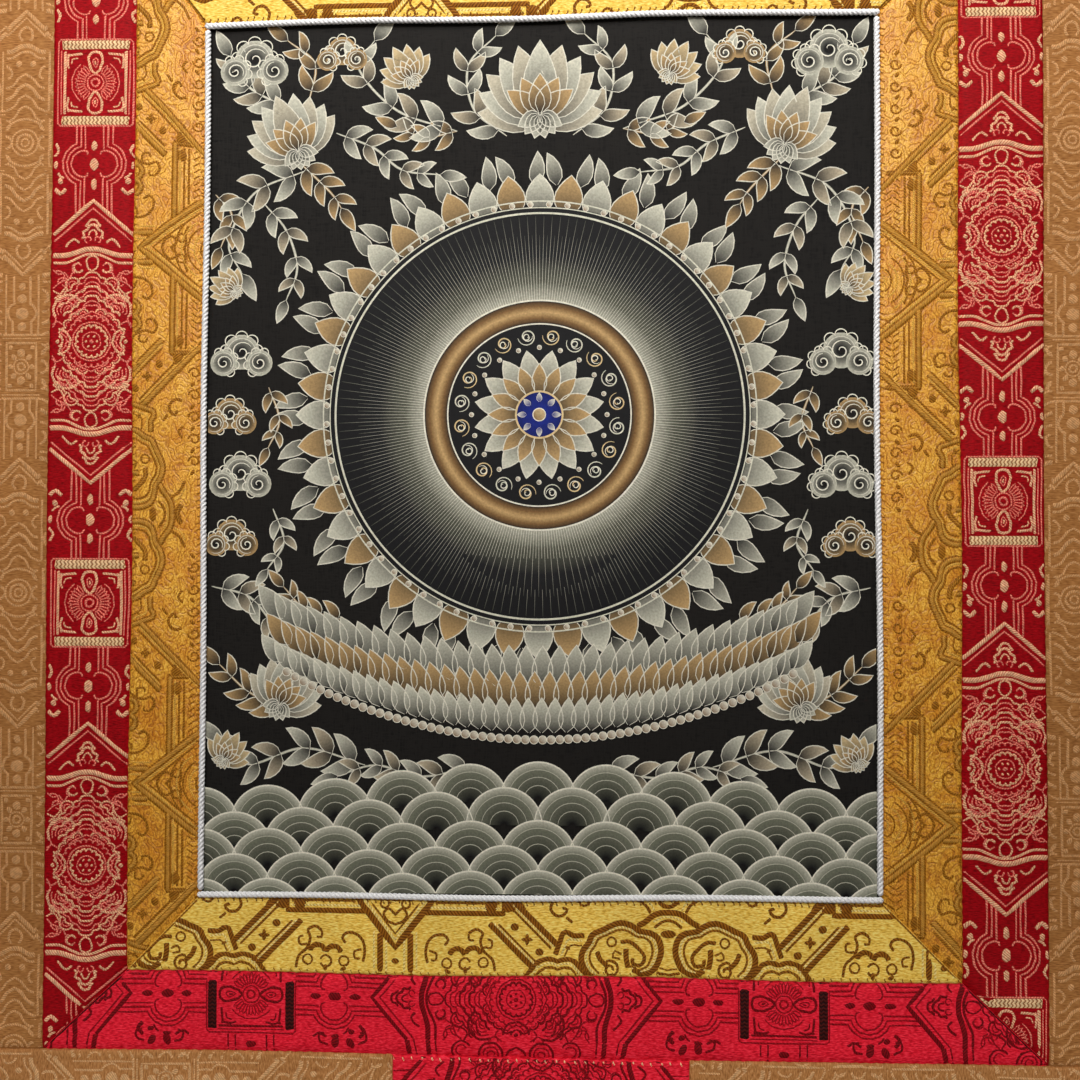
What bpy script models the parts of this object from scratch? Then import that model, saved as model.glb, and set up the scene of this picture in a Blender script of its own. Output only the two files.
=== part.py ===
"""A thangka in its brocade mount: a painted cloth panel, a cord round it, a gold and a red border with
mitred corners, and a brown mount with a red door patch let into its lower panel.

Metres, +Z up. The hanging's top edge lies along X with its middle at the origin, the cloth hangs down
towards -Z, and its painted face looks towards -Y.
"""

import math

import bmesh
import bpy

MM = 0.001

# Widths and heights of the pieces, as the eye meets them from the front
PICTURE_WIDTH = 241.5 * MM
PICTURE_HEIGHT = 317.6 * MM
GOLD_LEFT = 26.7 * MM
GOLD_RIGHT = 29.1 * MM
GOLD_TOP = 27.0 * MM
GOLD_BOTTOM = 27.4 * MM
RED_LEFT = 29.1 * MM
RED_RIGHT = 30.0 * MM
RED_TOP = 28.5 * MM
RED_BOTTOM = 28.5 * MM
MOUNT_WIDTH = 476.0 * MM
TOP_PANEL_HEIGHT = 118.0 * MM
LOWER_PANEL_HEIGHT = 200.0 * MM
DOOR_LEFT = -51.7 * MM
DOOR_RIGHT = 53.8 * MM
DOOR_HEIGHT = 130.0 * MM

# Thicknesses and depths. A depth is measured back from the front of the cloth.
BROCADE_THICKNESS = 1.5 * MM
CANVAS_THICKNESS = 1.0 * MM
CANVAS_DEPTH = 1.0 * MM
CORD_RADIUS = 1.2 * MM
CORD_DEPTH = -0.6 * MM
SEAM_GAP = 0.3 * MM
SEAM_SINK = 0.7 * MM
SEAM_ROLL = 1.8 * MM
CROWN = 0.4 * MM

# How the cloth hangs: a slow wave over the whole, side edges that curl forward, a rippled foot
WAVE_DEPTH = 1.0 * MM
WAVE_LENGTH = 0.34
WAVE_WIDTH = 0.7
RIPPLE_DEPTH = 2.2 * MM
RIPPLE_WIDTH = 0.26
RIPPLE_SHIFT = 0.15
CURL_DEPTH = 2.5 * MM
CURL_WIDTH = 0.05
CURL_START = 0.1
SEAM_WANDER = 0.5 * MM
WANDER_START = 0.9

# How finely each solid is divided
STRIP_STEPS = 13
CORD_STEPS = 14
CORD_BEVEL_RESOLUTION = 2
PANEL_STEP = 0.028
SHARP_DEGREES = 45.0

# Places that follow from the sizes above
PICTURE_RIGHT = PICTURE_WIDTH / 2
PICTURE_LEFT = -PICTURE_RIGHT
RED_TOP_Z = -TOP_PANEL_HEIGHT
PICTURE_TOP = RED_TOP_Z - RED_TOP - GOLD_TOP
PICTURE_BOTTOM = PICTURE_TOP - PICTURE_HEIGHT
RED_BOTTOM_Z = PICTURE_BOTTOM - GOLD_BOTTOM - RED_BOTTOM
FOOT_Z = RED_BOTTOM_Z - LOWER_PANEL_HEIGHT
RED_LEFT_X = PICTURE_LEFT - GOLD_LEFT - RED_LEFT
RED_RIGHT_X = PICTURE_RIGHT + GOLD_RIGHT + RED_RIGHT
MOUNT_RIGHT = MOUNT_WIDTH / 2
MOUNT_LEFT = -MOUNT_RIGHT
DOOR_FOOT = RED_BOTTOM_Z - DOOR_HEIGHT


def hang(x, z):
    """How far back the front of the cloth lies at a place on it, as it hangs from its straight top edge."""
    wave = WAVE_DEPTH * math.sin(math.tau * z / WAVE_LENGTH) * math.cos(math.tau * x / WAVE_WIDTH)
    below = max(0.0, (RED_BOTTOM_Z - z) / LOWER_PANEL_HEIGHT)
    ripple = RIPPLE_DEPTH * below**2 * math.sin(math.tau * (x / RIPPLE_WIDTH + RIPPLE_SHIFT))
    outward = max(0.0, (abs(x) - MOUNT_RIGHT) / CURL_WIDTH + 1.0)
    curl = CURL_DEPTH * outward**2 * min(1.0, -z / CURL_START)
    return wave + ripple - curl


def wander(share, waves):
    """How far a seam strays from its straight line, from 0 at one corner to 0 at the other."""
    return SEAM_WANDER * math.sin(math.pi * share) * math.sin(math.tau * waves * share + WANDER_START)


def frame_corners(left, right, top, bottom):
    """The corners of one of the frames in the mount, in the order in which its sides run."""
    return {
        "left": ((left, top), (left, bottom)),
        "right": ((right, top), (right, bottom)),
        "top": ((left, top), (right, top)),
        "bottom": ((left, bottom), (right, bottom)),
    }


CORD_LINE = frame_corners(PICTURE_LEFT, PICTURE_RIGHT, PICTURE_TOP, PICTURE_BOTTOM)
GOLD_OUTER = frame_corners(
    PICTURE_LEFT - GOLD_LEFT,
    PICTURE_RIGHT + GOLD_RIGHT,
    PICTURE_TOP + GOLD_TOP,
    PICTURE_BOTTOM - GOLD_BOTTOM,
)
RED_OUTER = frame_corners(RED_LEFT_X, RED_RIGHT_X, RED_TOP_Z, RED_BOTTOM_Z)

# How many slow bends each frame's seams take from corner to corner
CORD_WAVES = 1.4
GOLD_WAVES = 1.8
RED_WAVES = 1.1


def seam_point(frame, side, waves, share):
    """A place on a frame's seam, a share of the way from its first corner to its second."""
    (x0, z0), (x1, z1) = frame[side]
    stray = wander(share, waves)
    upright = side in ("left", "right")
    x = x0 + (x1 - x0) * share + (stray if upright else 0.0)
    z = z0 + (z1 - z0) * share + (0.0 if upright else stray)
    return x, z


def rolled(length, steps, gap_start, gap_end):
    """Shares along a length: both ends, a place where each end starts to roll down, and even steps."""
    start = gap_start / length
    end = 1.0 - gap_end / length
    roll = SEAM_ROLL / length
    inner = [start + roll + (end - start - 2 * roll) * step / steps for step in range(steps + 1)]
    return [start, *inner, end]


def material(name, colour, roughness, metallic):
    finish = bpy.data.materials.new(name)
    finish.use_nodes = True
    shader = finish.node_tree.nodes["Principled BSDF"]
    shader.inputs["Base Color"].default_value = (*colour, 1.0)
    shader.inputs["Roughness"].default_value = roughness
    shader.inputs["Metallic"].default_value = metallic
    return finish


def add_object(name, data, finish):
    piece = bpy.data.objects.new(name, data)
    data.materials.append(finish)
    bpy.context.scene.collection.objects.link(piece)
    return piece


def cloth(name, columns, rows, place, thickness, depth, finish, crown=0.0, cut_out=None):
    """One piece of cloth as a closed solid: a grid laid on the hang, then pushed back to its thickness.

    place turns a column and a row into x and z, and cut_out names the faces that are cut away. The
    front rolls down at every edge, and a crowned piece, whose rows are shares, swells between its seams.
    """
    mesh = bmesh.new()
    bmesh.ops.create_grid(mesh, x_segments=len(columns) - 1, y_segments=len(rows) - 1, size=0.5)
    for vertex in mesh.verts:
        column = columns[round((vertex.co.x + 0.5) * (len(columns) - 1))]
        row = rows[round((vertex.co.y + 0.5) * (len(rows) - 1))]
        x, z = place(column, row)
        vertex.co = (x, hang(x, z) + depth - crown * math.sin(math.pi * row), z)
    if cut_out:
        spare = [face for face in mesh.faces if cut_out(face.calc_center_median())]
        bmesh.ops.delete(mesh, geom=spare, context="FACES")
    for vertex in mesh.verts:
        if vertex.is_boundary:
            vertex.co.y = hang(vertex.co.x, vertex.co.z) + depth + SEAM_SINK
    pushed = bmesh.ops.extrude_face_region(mesh, geom=mesh.faces[:])
    for vertex in pushed["geom"]:
        if isinstance(vertex, bmesh.types.BMVert):
            vertex.co.y = hang(vertex.co.x, vertex.co.z) + depth + thickness
    bmesh.ops.recalc_face_normals(mesh, faces=mesh.faces[:])
    data = bpy.data.meshes.new(name)
    mesh.to_mesh(data)
    mesh.free()
    data.shade_smooth()
    data.set_sharp_from_angle(angle=math.radians(SHARP_DEGREES))
    return add_object(name, data, finish)


def border_strip(name, side, inner, inner_waves, inner_gap, outer, outer_waves, finish):
    """A mitred border strip, from an inner frame's seam to an outer one."""
    (ax, az), (bx, bz) = inner[side]
    (cx, cz), _ = outer[side]
    length = math.hypot(bx - ax, bz - az)
    width = abs(cx - ax) if side in ("left", "right") else abs(cz - az)
    mitre_gap = SEAM_GAP / 2 * math.sqrt(2.0)

    def place(share, across):
        inner_x, inner_z = seam_point(inner, side, inner_waves, share)
        outer_x, outer_z = seam_point(outer, side, outer_waves, share)
        return inner_x + (outer_x - inner_x) * across, inner_z + (outer_z - inner_z) * across

    columns = rolled(length, STRIP_STEPS, mitre_gap, mitre_gap)
    rows = rolled(width, 2, inner_gap, SEAM_GAP / 2)
    return cloth(name, columns, rows, place, BROCADE_THICKNESS, 0.0, finish, CROWN)


def steps_between(start, end):
    """Even places from start to end, about a panel step apart."""
    count = max(2, round(abs(end - start) / PANEL_STEP))
    return [start + (end - start) * step / count for step in range(count + 1)]


def edged(start, end):
    """Places across a panel, with one by each edge where the cloth starts to roll down."""
    roll = math.copysign(SEAM_ROLL, end - start)
    return [start, *steps_between(start + roll, end - roll), end]


def painted_canvas(finish):
    """The painted cloth, set back behind the borders' face, with its edges behind the cords."""
    reach = CORD_RADIUS
    sides = edged(PICTURE_LEFT - reach, PICTURE_RIGHT + reach)
    heights = edged(PICTURE_BOTTOM - reach, PICTURE_TOP + reach)

    def place(x, z):
        share_down = (PICTURE_TOP - z) / PICTURE_HEIGHT
        share_right = (x - PICTURE_LEFT) / PICTURE_WIDTH
        stray_x = wander(min(1.0, max(0.0, share_down)), CORD_WAVES)
        stray_z = wander(min(1.0, max(0.0, share_right)), CORD_WAVES)
        return x + stray_x, z + stray_z

    return cloth("painted_canvas", sides, heights, place, CANVAS_THICKNESS, CANVAS_DEPTH, finish)


def edging_cord(side, finish):
    """The cord along one side of the picture. The upright ones stop short of the level ones."""
    (ax, az), (bx, bz) = CORD_LINE[side]
    length = math.hypot(bx - ax, bz - az)
    upright = side in ("left", "right")
    inset = (CORD_RADIUS + SEAM_GAP) / length if upright else -CORD_RADIUS / length
    curve = bpy.data.curves.new(f"edging_cord_{side}", "CURVE")
    curve.dimensions = "3D"
    curve.bevel_depth = CORD_RADIUS
    curve.bevel_resolution = CORD_BEVEL_RESOLUTION
    curve.use_fill_caps = True
    line = curve.splines.new("POLY")
    line.points.add(CORD_STEPS)
    for step, point in enumerate(line.points):
        share = inset + (1.0 - 2 * inset) * step / CORD_STEPS
        x, z = seam_point(CORD_LINE, side, CORD_WAVES, share)
        point.co = (x, hang(x, z) + CORD_DEPTH, z, 1.0)
    return add_object(f"edging_cord_{side}", curve, finish)


def side_panel(side, edge_x, finish):
    """A brown panel beside the red border, as tall as the border is."""
    half_gap = SEAM_GAP / 2
    height = RED_TOP_Z - RED_BOTTOM_Z

    def place(share, across):
        inner_x, z = seam_point(RED_OUTER, side, RED_WAVES, share)
        return inner_x + (edge_x - inner_x) * across, z

    width = abs(edge_x - RED_OUTER[side][0][0])
    columns = rolled(height, STRIP_STEPS + 2, half_gap, half_gap)
    rows = rolled(width, 3, half_gap, 0.0)
    return cloth(f"side_panel_{side}", columns, rows, place, BROCADE_THICKNESS, 0.0, finish)


def seam_z(side, x):
    """The height of the red border's upper or lower seam at x, level beyond the border's corners."""
    share = (x - RED_LEFT_X) / (RED_RIGHT_X - RED_LEFT_X)
    return seam_point(RED_OUTER, side, RED_WAVES, min(1.0, max(0.0, share)))[1]


def top_panel(finish):
    half_gap = SEAM_GAP / 2
    rows = rolled(TOP_PANEL_HEIGHT, 4, 0.0, half_gap)

    def place(x, share):
        return x, seam_z("top", x) * share

    return cloth("top_panel", edged(MOUNT_LEFT, MOUNT_RIGHT), rows, place, BROCADE_THICKNESS, 0.0, finish)


def lower_panel(finish):
    """The panel under the border, with a notch in its upper edge that the door patch fills."""
    half_gap = SEAM_GAP / 2
    notch_left = DOOR_LEFT - half_gap
    notch_right = DOOR_RIGHT + half_gap
    notch_foot = DOOR_FOOT - half_gap
    columns = [
        *edged(MOUNT_LEFT, notch_left),
        *steps_between(notch_left, notch_right)[1:-1],
        *edged(notch_right, MOUNT_RIGHT),
    ]
    start = half_gap / LOWER_PANEL_HEIGHT
    foot_share = (RED_BOTTOM_Z - notch_foot) / LOWER_PANEL_HEIGHT
    roll = SEAM_ROLL / LOWER_PANEL_HEIGHT
    beside_door = [start + roll + (foot_share - start - roll) * step / 4 for step in range(5)]
    under_door = [foot_share + roll + (1.0 - foot_share - 2 * roll) * step / 2 for step in range(3)]
    rows = [start, *beside_door, *under_door, 1.0]

    def place(x, share):
        seam = seam_z("bottom", x)
        full = RED_BOTTOM_Z + (FOOT_Z - RED_BOTTOM_Z) * share
        return x, full + (seam - RED_BOTTOM_Z) * max(0.0, 1.0 - share / foot_share)

    def in_notch(centre):
        return notch_left < centre.x < notch_right and centre.z > notch_foot

    return cloth(
        "lower_panel", columns, rows, place, BROCADE_THICKNESS, 0.0, finish, cut_out=in_notch
    )


def door_patch(finish):
    half_gap = SEAM_GAP / 2
    columns = edged(DOOR_LEFT + half_gap, DOOR_RIGHT - half_gap)
    rows = rolled(DOOR_HEIGHT, 4, half_gap, half_gap)

    def place(x, share):
        seam = seam_z("bottom", x)
        return x, seam + (DOOR_FOOT - seam) * share

    return cloth("door_patch", columns, rows, place, BROCADE_THICKNESS, 0.0, finish, CROWN)


def main():
    for old in list(bpy.data.objects):
        bpy.data.objects.remove(old)

    canvas = material("black painted cloth", (0.018, 0.018, 0.020), 0.75, 0.0)
    cord = material("white twisted cord", (0.72, 0.72, 0.74), 0.6, 0.0)
    gold = material("gold brocade", (0.62, 0.38, 0.06), 0.45, 0.1)
    red = material("red brocade", (0.50, 0.008, 0.02), 0.5, 0.0)
    brown = material("brown brocade", (0.40, 0.22, 0.10), 0.55, 0.0)

    painted_canvas(canvas)
    cord_gap = CORD_RADIUS + SEAM_GAP
    for side in ("left", "right", "top", "bottom"):
        edging_cord(side, cord)
        border_strip(
            f"gold_border_{side}", side, CORD_LINE, CORD_WAVES, cord_gap, GOLD_OUTER, GOLD_WAVES, gold
        )
        border_strip(
            f"red_border_{side}", side, GOLD_OUTER, GOLD_WAVES, SEAM_GAP / 2, RED_OUTER, RED_WAVES, red
        )
    side_panel("left", MOUNT_LEFT, brown)
    side_panel("right", MOUNT_RIGHT, brown)
    top_panel(brown)
    lower_panel(brown)
    door_patch(red)


main()
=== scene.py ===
"""A thangka in its brocade mount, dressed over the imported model.

Metres, +Z up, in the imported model's frame: the top edge lies along X with its middle at the origin, the
cloth hangs down, and its face looks towards -Y. Charts of the woven patterns are in millimetres.
"""

import math

import bmesh
import bpy
import numpy as np
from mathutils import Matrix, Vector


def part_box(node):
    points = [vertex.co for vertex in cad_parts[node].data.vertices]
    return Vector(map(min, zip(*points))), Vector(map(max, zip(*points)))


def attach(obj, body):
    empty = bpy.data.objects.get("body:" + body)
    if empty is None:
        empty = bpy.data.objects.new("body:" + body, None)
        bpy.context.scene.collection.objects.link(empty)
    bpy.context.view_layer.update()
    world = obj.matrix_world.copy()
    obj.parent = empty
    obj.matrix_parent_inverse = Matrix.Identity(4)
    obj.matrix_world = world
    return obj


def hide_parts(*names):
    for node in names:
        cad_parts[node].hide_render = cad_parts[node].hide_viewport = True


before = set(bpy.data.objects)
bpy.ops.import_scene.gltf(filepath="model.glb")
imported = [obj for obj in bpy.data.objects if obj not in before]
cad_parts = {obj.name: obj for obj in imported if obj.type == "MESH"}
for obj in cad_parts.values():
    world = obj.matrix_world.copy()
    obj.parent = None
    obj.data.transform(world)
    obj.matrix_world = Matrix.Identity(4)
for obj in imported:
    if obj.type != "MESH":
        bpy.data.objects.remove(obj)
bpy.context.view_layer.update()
for loaded in bpy.context.selected_objects:
    loaded.select_set(False)

# The painted cloth: one piece of black-primed cotton, stretched flat by the mount that is sewn to its
# four edges. All the pieces hang as one sheet, so how the whole hangs is set out here. The cloth's
# edges run on under the gold border.
MM = 0.001
UPRIGHT = ("left", "right")
LEVEL = ("top", "bottom")
TOP_LINE = -118.0
FOOT_LINE = -547.0
LOWER_HEIGHT = 200.0
MOUNT_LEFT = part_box("side_panel_left")[0][0] / MM
MOUNT_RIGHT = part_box("side_panel_right")[1][0] / MM

# The seams between the pieces, in millimetres, and how many slow bends each takes from corner to corner
SEAMS = {
    # line: left, right, top, bottom, bends, stray
    "cord": (-120.75, 120.75, -173.5, -491.1, 1.4, 0.5),
    "gold": (-147.45, 149.85, -146.5, -518.5, 1.8, 0.5),
    "red": (-177.9, 179.85, TOP_LINE, FOOT_LINE, 1.1, 0.5),
    "mount": (MOUNT_LEFT, MOUNT_RIGHT, TOP_LINE, FOOT_LINE, 0.0, 0.0),
}

# The picture is stretched flat, so the cockle starts beyond it: its middle and half its size, in metres
FLAT_MIDDLE = -0.3323
FLAT_HALF_WIDTH = 0.122
FLAT_HALF_HEIGHT = 0.16


def hang(x, z):
    """How far back the front of the cloth lies at a place on it, with the fine cockle of sewn cloth."""
    wave = 1.0 * MM * np.sin(math.tau * z / 0.34) * np.cos(math.tau * x / 0.7)
    below = np.maximum(0.0, (FOOT_LINE * MM - z) / (LOWER_HEIGHT * MM))
    ripple = 2.2 * MM * below**2 * np.sin(math.tau * (x / 0.26 + 0.15))
    outward = np.maximum(0.0, (np.abs(x) - MOUNT_RIGHT * MM) / 0.05 + 1.0)
    curl = 2.5 * MM * outward**2 * np.minimum(1.0, np.maximum(0.0, -z) / 0.1)
    cockle = np.sin(x / 0.0093 + 2.1 * np.sin(z / 0.027)) * np.sin(z / 0.0117 + 1.7 * np.sin(x / 0.031))
    beyond = np.maximum(np.abs(x) - FLAT_HALF_WIDTH, np.abs(z - FLAT_MIDDLE) - FLAT_HALF_HEIGHT)
    return wave + ripple - curl + 0.1 * MM * cockle * np.clip(beyond / 0.008, 0.0, 1.0)


def drawn(x, z):
    """The height of a place once all is sewn: the picture's upper and lower seams stray from the square."""
    above = np.interp(x, (-0.12, -0.06, 0.0, 0.04, 0.12), (-3.2, -1.6, -1.1, -0.3, -0.3))
    above = above * np.interp(z, (-0.3, -0.1735, -0.15, -0.118), (0.0, 1.0, 0.5, 0.0))
    above = above * np.clip((0.136 - np.abs(x)) / 0.014, 0.0, 1.0)
    below = np.interp(x, (-0.12, 0.12), (0.7, -1.0))
    below = below * np.interp(z, (-0.66, -0.547, -0.5185, -0.491), (0.0, 1.0, 1.0, 0.0))
    lift = 0.7 * np.interp(z, (-0.5185, -0.491, -0.43), (0.0, 1.0, 0.0))
    return z + (above + below + lift) * MM


def seam(line, side, share):
    """A place in millimetres on a seam, a share of the way from its first corner to its second."""
    left, right, top, bottom, bends, stray = SEAMS[line]
    inside = np.clip(share, 0.0, 1.0)
    off = stray * np.sin(math.pi * inside) * np.sin(math.tau * bends * inside + 0.9)
    if line in ("gold", "red"):
        stitches = 118 if side in UPRIGHT else 94
        off = off + 0.15 * np.sin(math.tau * stitches * inside + 3.0 * np.sin(23.0 * inside))
    if side in UPRIGHT:
        edge = left if side == "left" else right
        return edge + off, top + (bottom - top) * share
    edge = top if side == "top" else bottom
    return left + (right - left) * share, edge + off


FOLD_STEPS = (0.25, 0.6, 1.1, 1.9, 3.0)
UNDER_STEPS = (2.5, 5.0, 6.0, 7.2, 9.0)
HEM_STEPS = (0.4, 0.8, 3.0, 9.0, 10.5)


def steps(start, end, step, fine=FOLD_STEPS, fine_end=None):
    """Places from start to end, an even step apart but close together by the two ends."""
    near = [start, *(start + gap for gap in fine)]
    far = [*(end - gap for gap in reversed(fine_end or fine)), end]
    count = max(2, round(abs(far[0] - near[-1]) / step))
    middle = np.linspace(near[-1], far[0], count + 1)[1:-1]
    return np.array([*near, *middle, *far])


def add_mesh(name, points, faces, finishes, parts=None):
    """An object made of points and faces, with its materials."""
    data = bpy.data.meshes.new(name)
    data.from_pydata([tuple(point) for point in points], [], [tuple(face) for face in faces])
    for finish in finishes:
        data.materials.append(finish)
    if parts is not None:
        data.polygons.foreach_set("material_index", np.array(parts, np.int32))
    data.shade_smooth()
    piece = bpy.data.objects.new(name, data)
    bpy.context.scene.collection.objects.link(piece)
    return piece


def face_outwards(piece):
    """Turns the faces of a closed piece outwards."""
    mesh = bmesh.new()
    mesh.from_mesh(piece.data)
    bmesh.ops.recalc_face_normals(mesh, faces=mesh.faces[:])
    mesh.to_mesh(piece.data)
    mesh.free()


def strip_faces(number):
    """The faces between the places of a grid, from the grid of their numbers."""
    ring = (number[:-1, :-1], number[1:, :-1], number[1:, 1:], number[:-1, 1:])
    return np.stack([corner.ravel() for corner in ring], axis=1)


def cut_away(mesh, place, way):
    """Cuts a mesh along a plane, and takes off what lies past it in its way."""
    whole = mesh.verts[:] + mesh.edges[:] + mesh.faces[:]
    bmesh.ops.bisect_plane(mesh, geom=whole, plane_co=place, plane_no=way, clear_outer=True)


def add_map(piece, name, places):
    """A map of a piece under a name, with a place for each corner of each face."""
    layer = piece.data.uv_layers.new(name=name)
    layer.data.foreach_set("uv", np.asarray(places, np.float32).ravel())


def bake_map(piece, sides=False):
    """The flat map of a piece seen from the front, or of its face and its back side by side."""
    data = piece.data
    points = np.empty(len(data.vertices) * 3)
    data.vertices.foreach_get("co", points)
    points = points.reshape(-1, 3)
    corners = np.empty(len(data.loops), np.int32)
    data.loops.foreach_get("vertex_index", corners)
    low = points.min(axis=0)
    size = np.maximum(points.max(axis=0) - low, 1e-6)
    flat = (points - low) / size
    across = 0.01 + 0.98 * flat[corners, 0]
    up = 0.01 + 0.98 * flat[corners, 2]
    if sides:
        parts = np.empty(len(data.polygons), np.int32)
        data.polygons.foreach_get("material_index", parts)
        across = across / 2 + 0.5 * np.repeat(parts, 4)
    add_map(piece, "OFBake", np.column_stack([across, up]))


def laid_cloth(name, columns, rows, place, face, finishes, keep=None):
    """A closed thin sheet of cloth: its face, its back and its cut or folded edges.

    place turns a column and a row into x and z in millimetres, face says how far behind the hang the
    cloth's face lies and how thick it is there, and keep says which cells aren't cut away.
    """
    column, row = np.meshgrid(columns, rows, indexing="ij")
    x, z = place(column, row)
    depth, thickness = face(column, row, x, z)
    front = hang(x * MM, z * MM) + depth * MM
    back = front + thickness * MM
    wide, high = column.shape
    cells = np.ones((wide - 1, high - 1), bool)
    if keep is not None:
        middle_x = (x[:-1, :-1] + x[1:, 1:]) / 2
        middle_z = (z[:-1, :-1] + z[1:, 1:]) / 2
        cells = keep(middle_x, middle_z)
    number = np.arange(wide * high).reshape(wide, high)
    count = wide * high
    height = drawn(x * MM, z * MM).ravel()
    points = np.vstack([np.column_stack([x.ravel() * MM, y.ravel(), height]) for y in (front, back)])
    faces = []
    parts = []
    for i, j in zip(*np.nonzero(cells)):
        ring = (number[i, j], number[i + 1, j], number[i + 1, j + 1], number[i, j + 1])
        faces.append(ring)
        parts.append(0)
        faces.append(tuple(corner + count for corner in reversed(ring)))
        parts.append(1)
        beside = ((i, j - 1), (i + 1, j), (i, j + 1), (i - 1, j))
        for side, (a, b) in enumerate(beside):
            if 0 <= a < wide - 1 and 0 <= b < high - 1 and cells[a, b]:
                continue
            start = ring[side]
            end = ring[(side + 1) % 4]
            faces.append((end, start, start + count, end + count))
            parts.append(0)
    used = np.unique(np.array([corner for ring in faces for corner in ring]))
    renumber = np.full(2 * count, -1)
    renumber[used] = np.arange(len(used))
    faces = [tuple(int(renumber[corner]) for corner in ring) for ring in faces]
    piece = add_mesh(name, points[used], faces, finishes, parts)
    face_outwards(piece)
    piece.data.set_sharp_from_angle(angle=math.radians(60.0))
    bake_map(piece, sides=True)
    return piece


def tint(red, green, blue):
    """A colour as it looks on a screen, from 0 to 255, turned into the shader's own scale."""
    parts = [value / 255 for value in (red, green, blue)]
    light = [((part + 0.055) / 1.055) ** 2.4 if part > 0.04 else part / 12.92 for part in parts]
    return (*light, 1.0)


def new_finish(name, roughness, sheen=0.0, specular=0.12):
    """A material, with its nodes and its shader, ready to be given its colour and weave."""
    finish = bpy.data.materials.new(name)
    finish.use_nodes = True
    shader = finish.node_tree.nodes["Principled BSDF"]
    shader.inputs["Roughness"].default_value = roughness
    shader.inputs["Sheen Weight"].default_value = sheen
    shader.inputs["Sheen Roughness"].default_value = 0.4
    shader.inputs["Specular IOR Level"].default_value = specular
    return finish, finish.node_tree, shader


def grey(value):
    """An even grey in the shader's own scale."""
    return (value, value, value, 1.0)


def threads(tree, scale, detail=2.0):
    """Noise drawn out along the threads: scale is how many grains there are to a metre on x, y and z."""
    source = tree.nodes.new("ShaderNodeTexCoord").outputs["Object"]
    mapping = tree.nodes.new("ShaderNodeMapping")
    mapping.inputs["Scale"].default_value = scale
    noise = tree.nodes.new("ShaderNodeTexNoise")
    noise.inputs["Scale"].default_value = 1.0
    noise.inputs["Detail"].default_value = detail
    tree.links.new(source, mapping.inputs["Vector"])
    tree.links.new(mapping.outputs["Vector"], noise.inputs["Vector"])
    return noise.outputs["Fac"]


def ramp(tree, value, stops):
    """A run of colours along a value: each stop is its place and its colour."""
    run = tree.nodes.new("ShaderNodeValToRGB")
    while len(run.color_ramp.elements) < len(stops):
        run.color_ramp.elements.new(0.5)
    for element, (place, colour) in zip(run.color_ramp.elements, stops):
        element.position = place
        element.color = colour
    tree.links.new(value, run.inputs["Fac"])
    return run.outputs["Color"]


def blended(tree, first, second, share, mode="MIX"):
    """Two colours mixed by a share, which is a number or a socket."""
    mix = tree.nodes.new("ShaderNodeMix")
    mix.data_type = "RGBA"
    mix.blend_type = mode
    for value, socket in ((share, mix.inputs[0]), (first, mix.inputs[6]), (second, mix.inputs[7])):
        if isinstance(value, bpy.types.NodeSocket):
            tree.links.new(value, socket)
        else:
            socket.default_value = value
    return mix.outputs[2]


def raise_weave(tree, shader, height, distance, strength=1.0):
    """The weave's own relief, from a height that runs from 0 to 1."""
    bump = tree.nodes.new("ShaderNodeBump")
    bump.inputs["Distance"].default_value = distance
    bump.inputs["Strength"].default_value = strength
    tree.links.new(height, bump.inputs["Height"])
    tree.links.new(bump.outputs["Normal"], shader.inputs["Normal"])


def primed_cloth(name, dark, light, wear_and_sheen_tint):
    """Primed cotton: a fine plain weave under the paint, rubbed a little unevenly."""
    finish, tree, shader = new_finish(name, 0.7, specular=0.14)
    upright = threads(tree, (1700.0, 300.0, 200.0), 3.0)
    level = threads(tree, (300.0, 300.0, 1500.0), 3.0)
    cloud = threads(tree, (16.0, 16.0, 10.0), 3.0)
    weave = tree.nodes.new("ShaderNodeMath")
    weave.operation = "ADD"
    tree.links.new(upright, weave.inputs[0])
    tree.links.new(level, weave.inputs[1])
    ground = ramp(tree, weave.outputs[0], ((0.72, dark), (1.28, light)))
    rubbed = ramp(tree, cloud, ((0.42, grey(0.0)), (0.75, grey(0.5))))
    tree.links.new(blended(tree, ground, wear_and_sheen_tint, rubbed), shader.inputs["Base Color"])
    raise_weave(tree, shader, weave.outputs[0], 0.00016, 0.6)
    return finish


black_ground = primed_cloth("black_primed_cloth", tint(11, 10, 9), tint(26, 24, 22), tint(23, 20, 17))
raw_cotton = primed_cloth("raw_cotton_back", tint(176, 166, 146), tint(206, 197, 178), tint(160, 148, 126))

CANVAS_REACH = 4.0
CANVAS_STEPS = (1.0, 2.5, 4.0, 5.0, 6.5)
CANVAS_DEPTH = 1.0
CANVAS_THICKNESS = 0.6
PICTURE_LEFT, PICTURE_RIGHT, PICTURE_TOP, PICTURE_FOOT = SEAMS["cord"][:4]


def canvas_face(column, row, x, z):
    """The painted cloth lies a little behind the mount, and goes back behind the borders at its edges."""
    aside = np.minimum(x - PICTURE_LEFT, PICTURE_RIGHT - x)
    inside = np.minimum(aside, np.minimum(z - PICTURE_FOOT, PICTURE_TOP - z))
    depth = np.interp(inside, (-CANVAS_REACH, 0.0, 1.0, 2.4), (1.75, 1.6, 1.15, CANVAS_DEPTH))
    return depth, np.full(depth.shape, CANVAS_THICKNESS)


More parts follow.
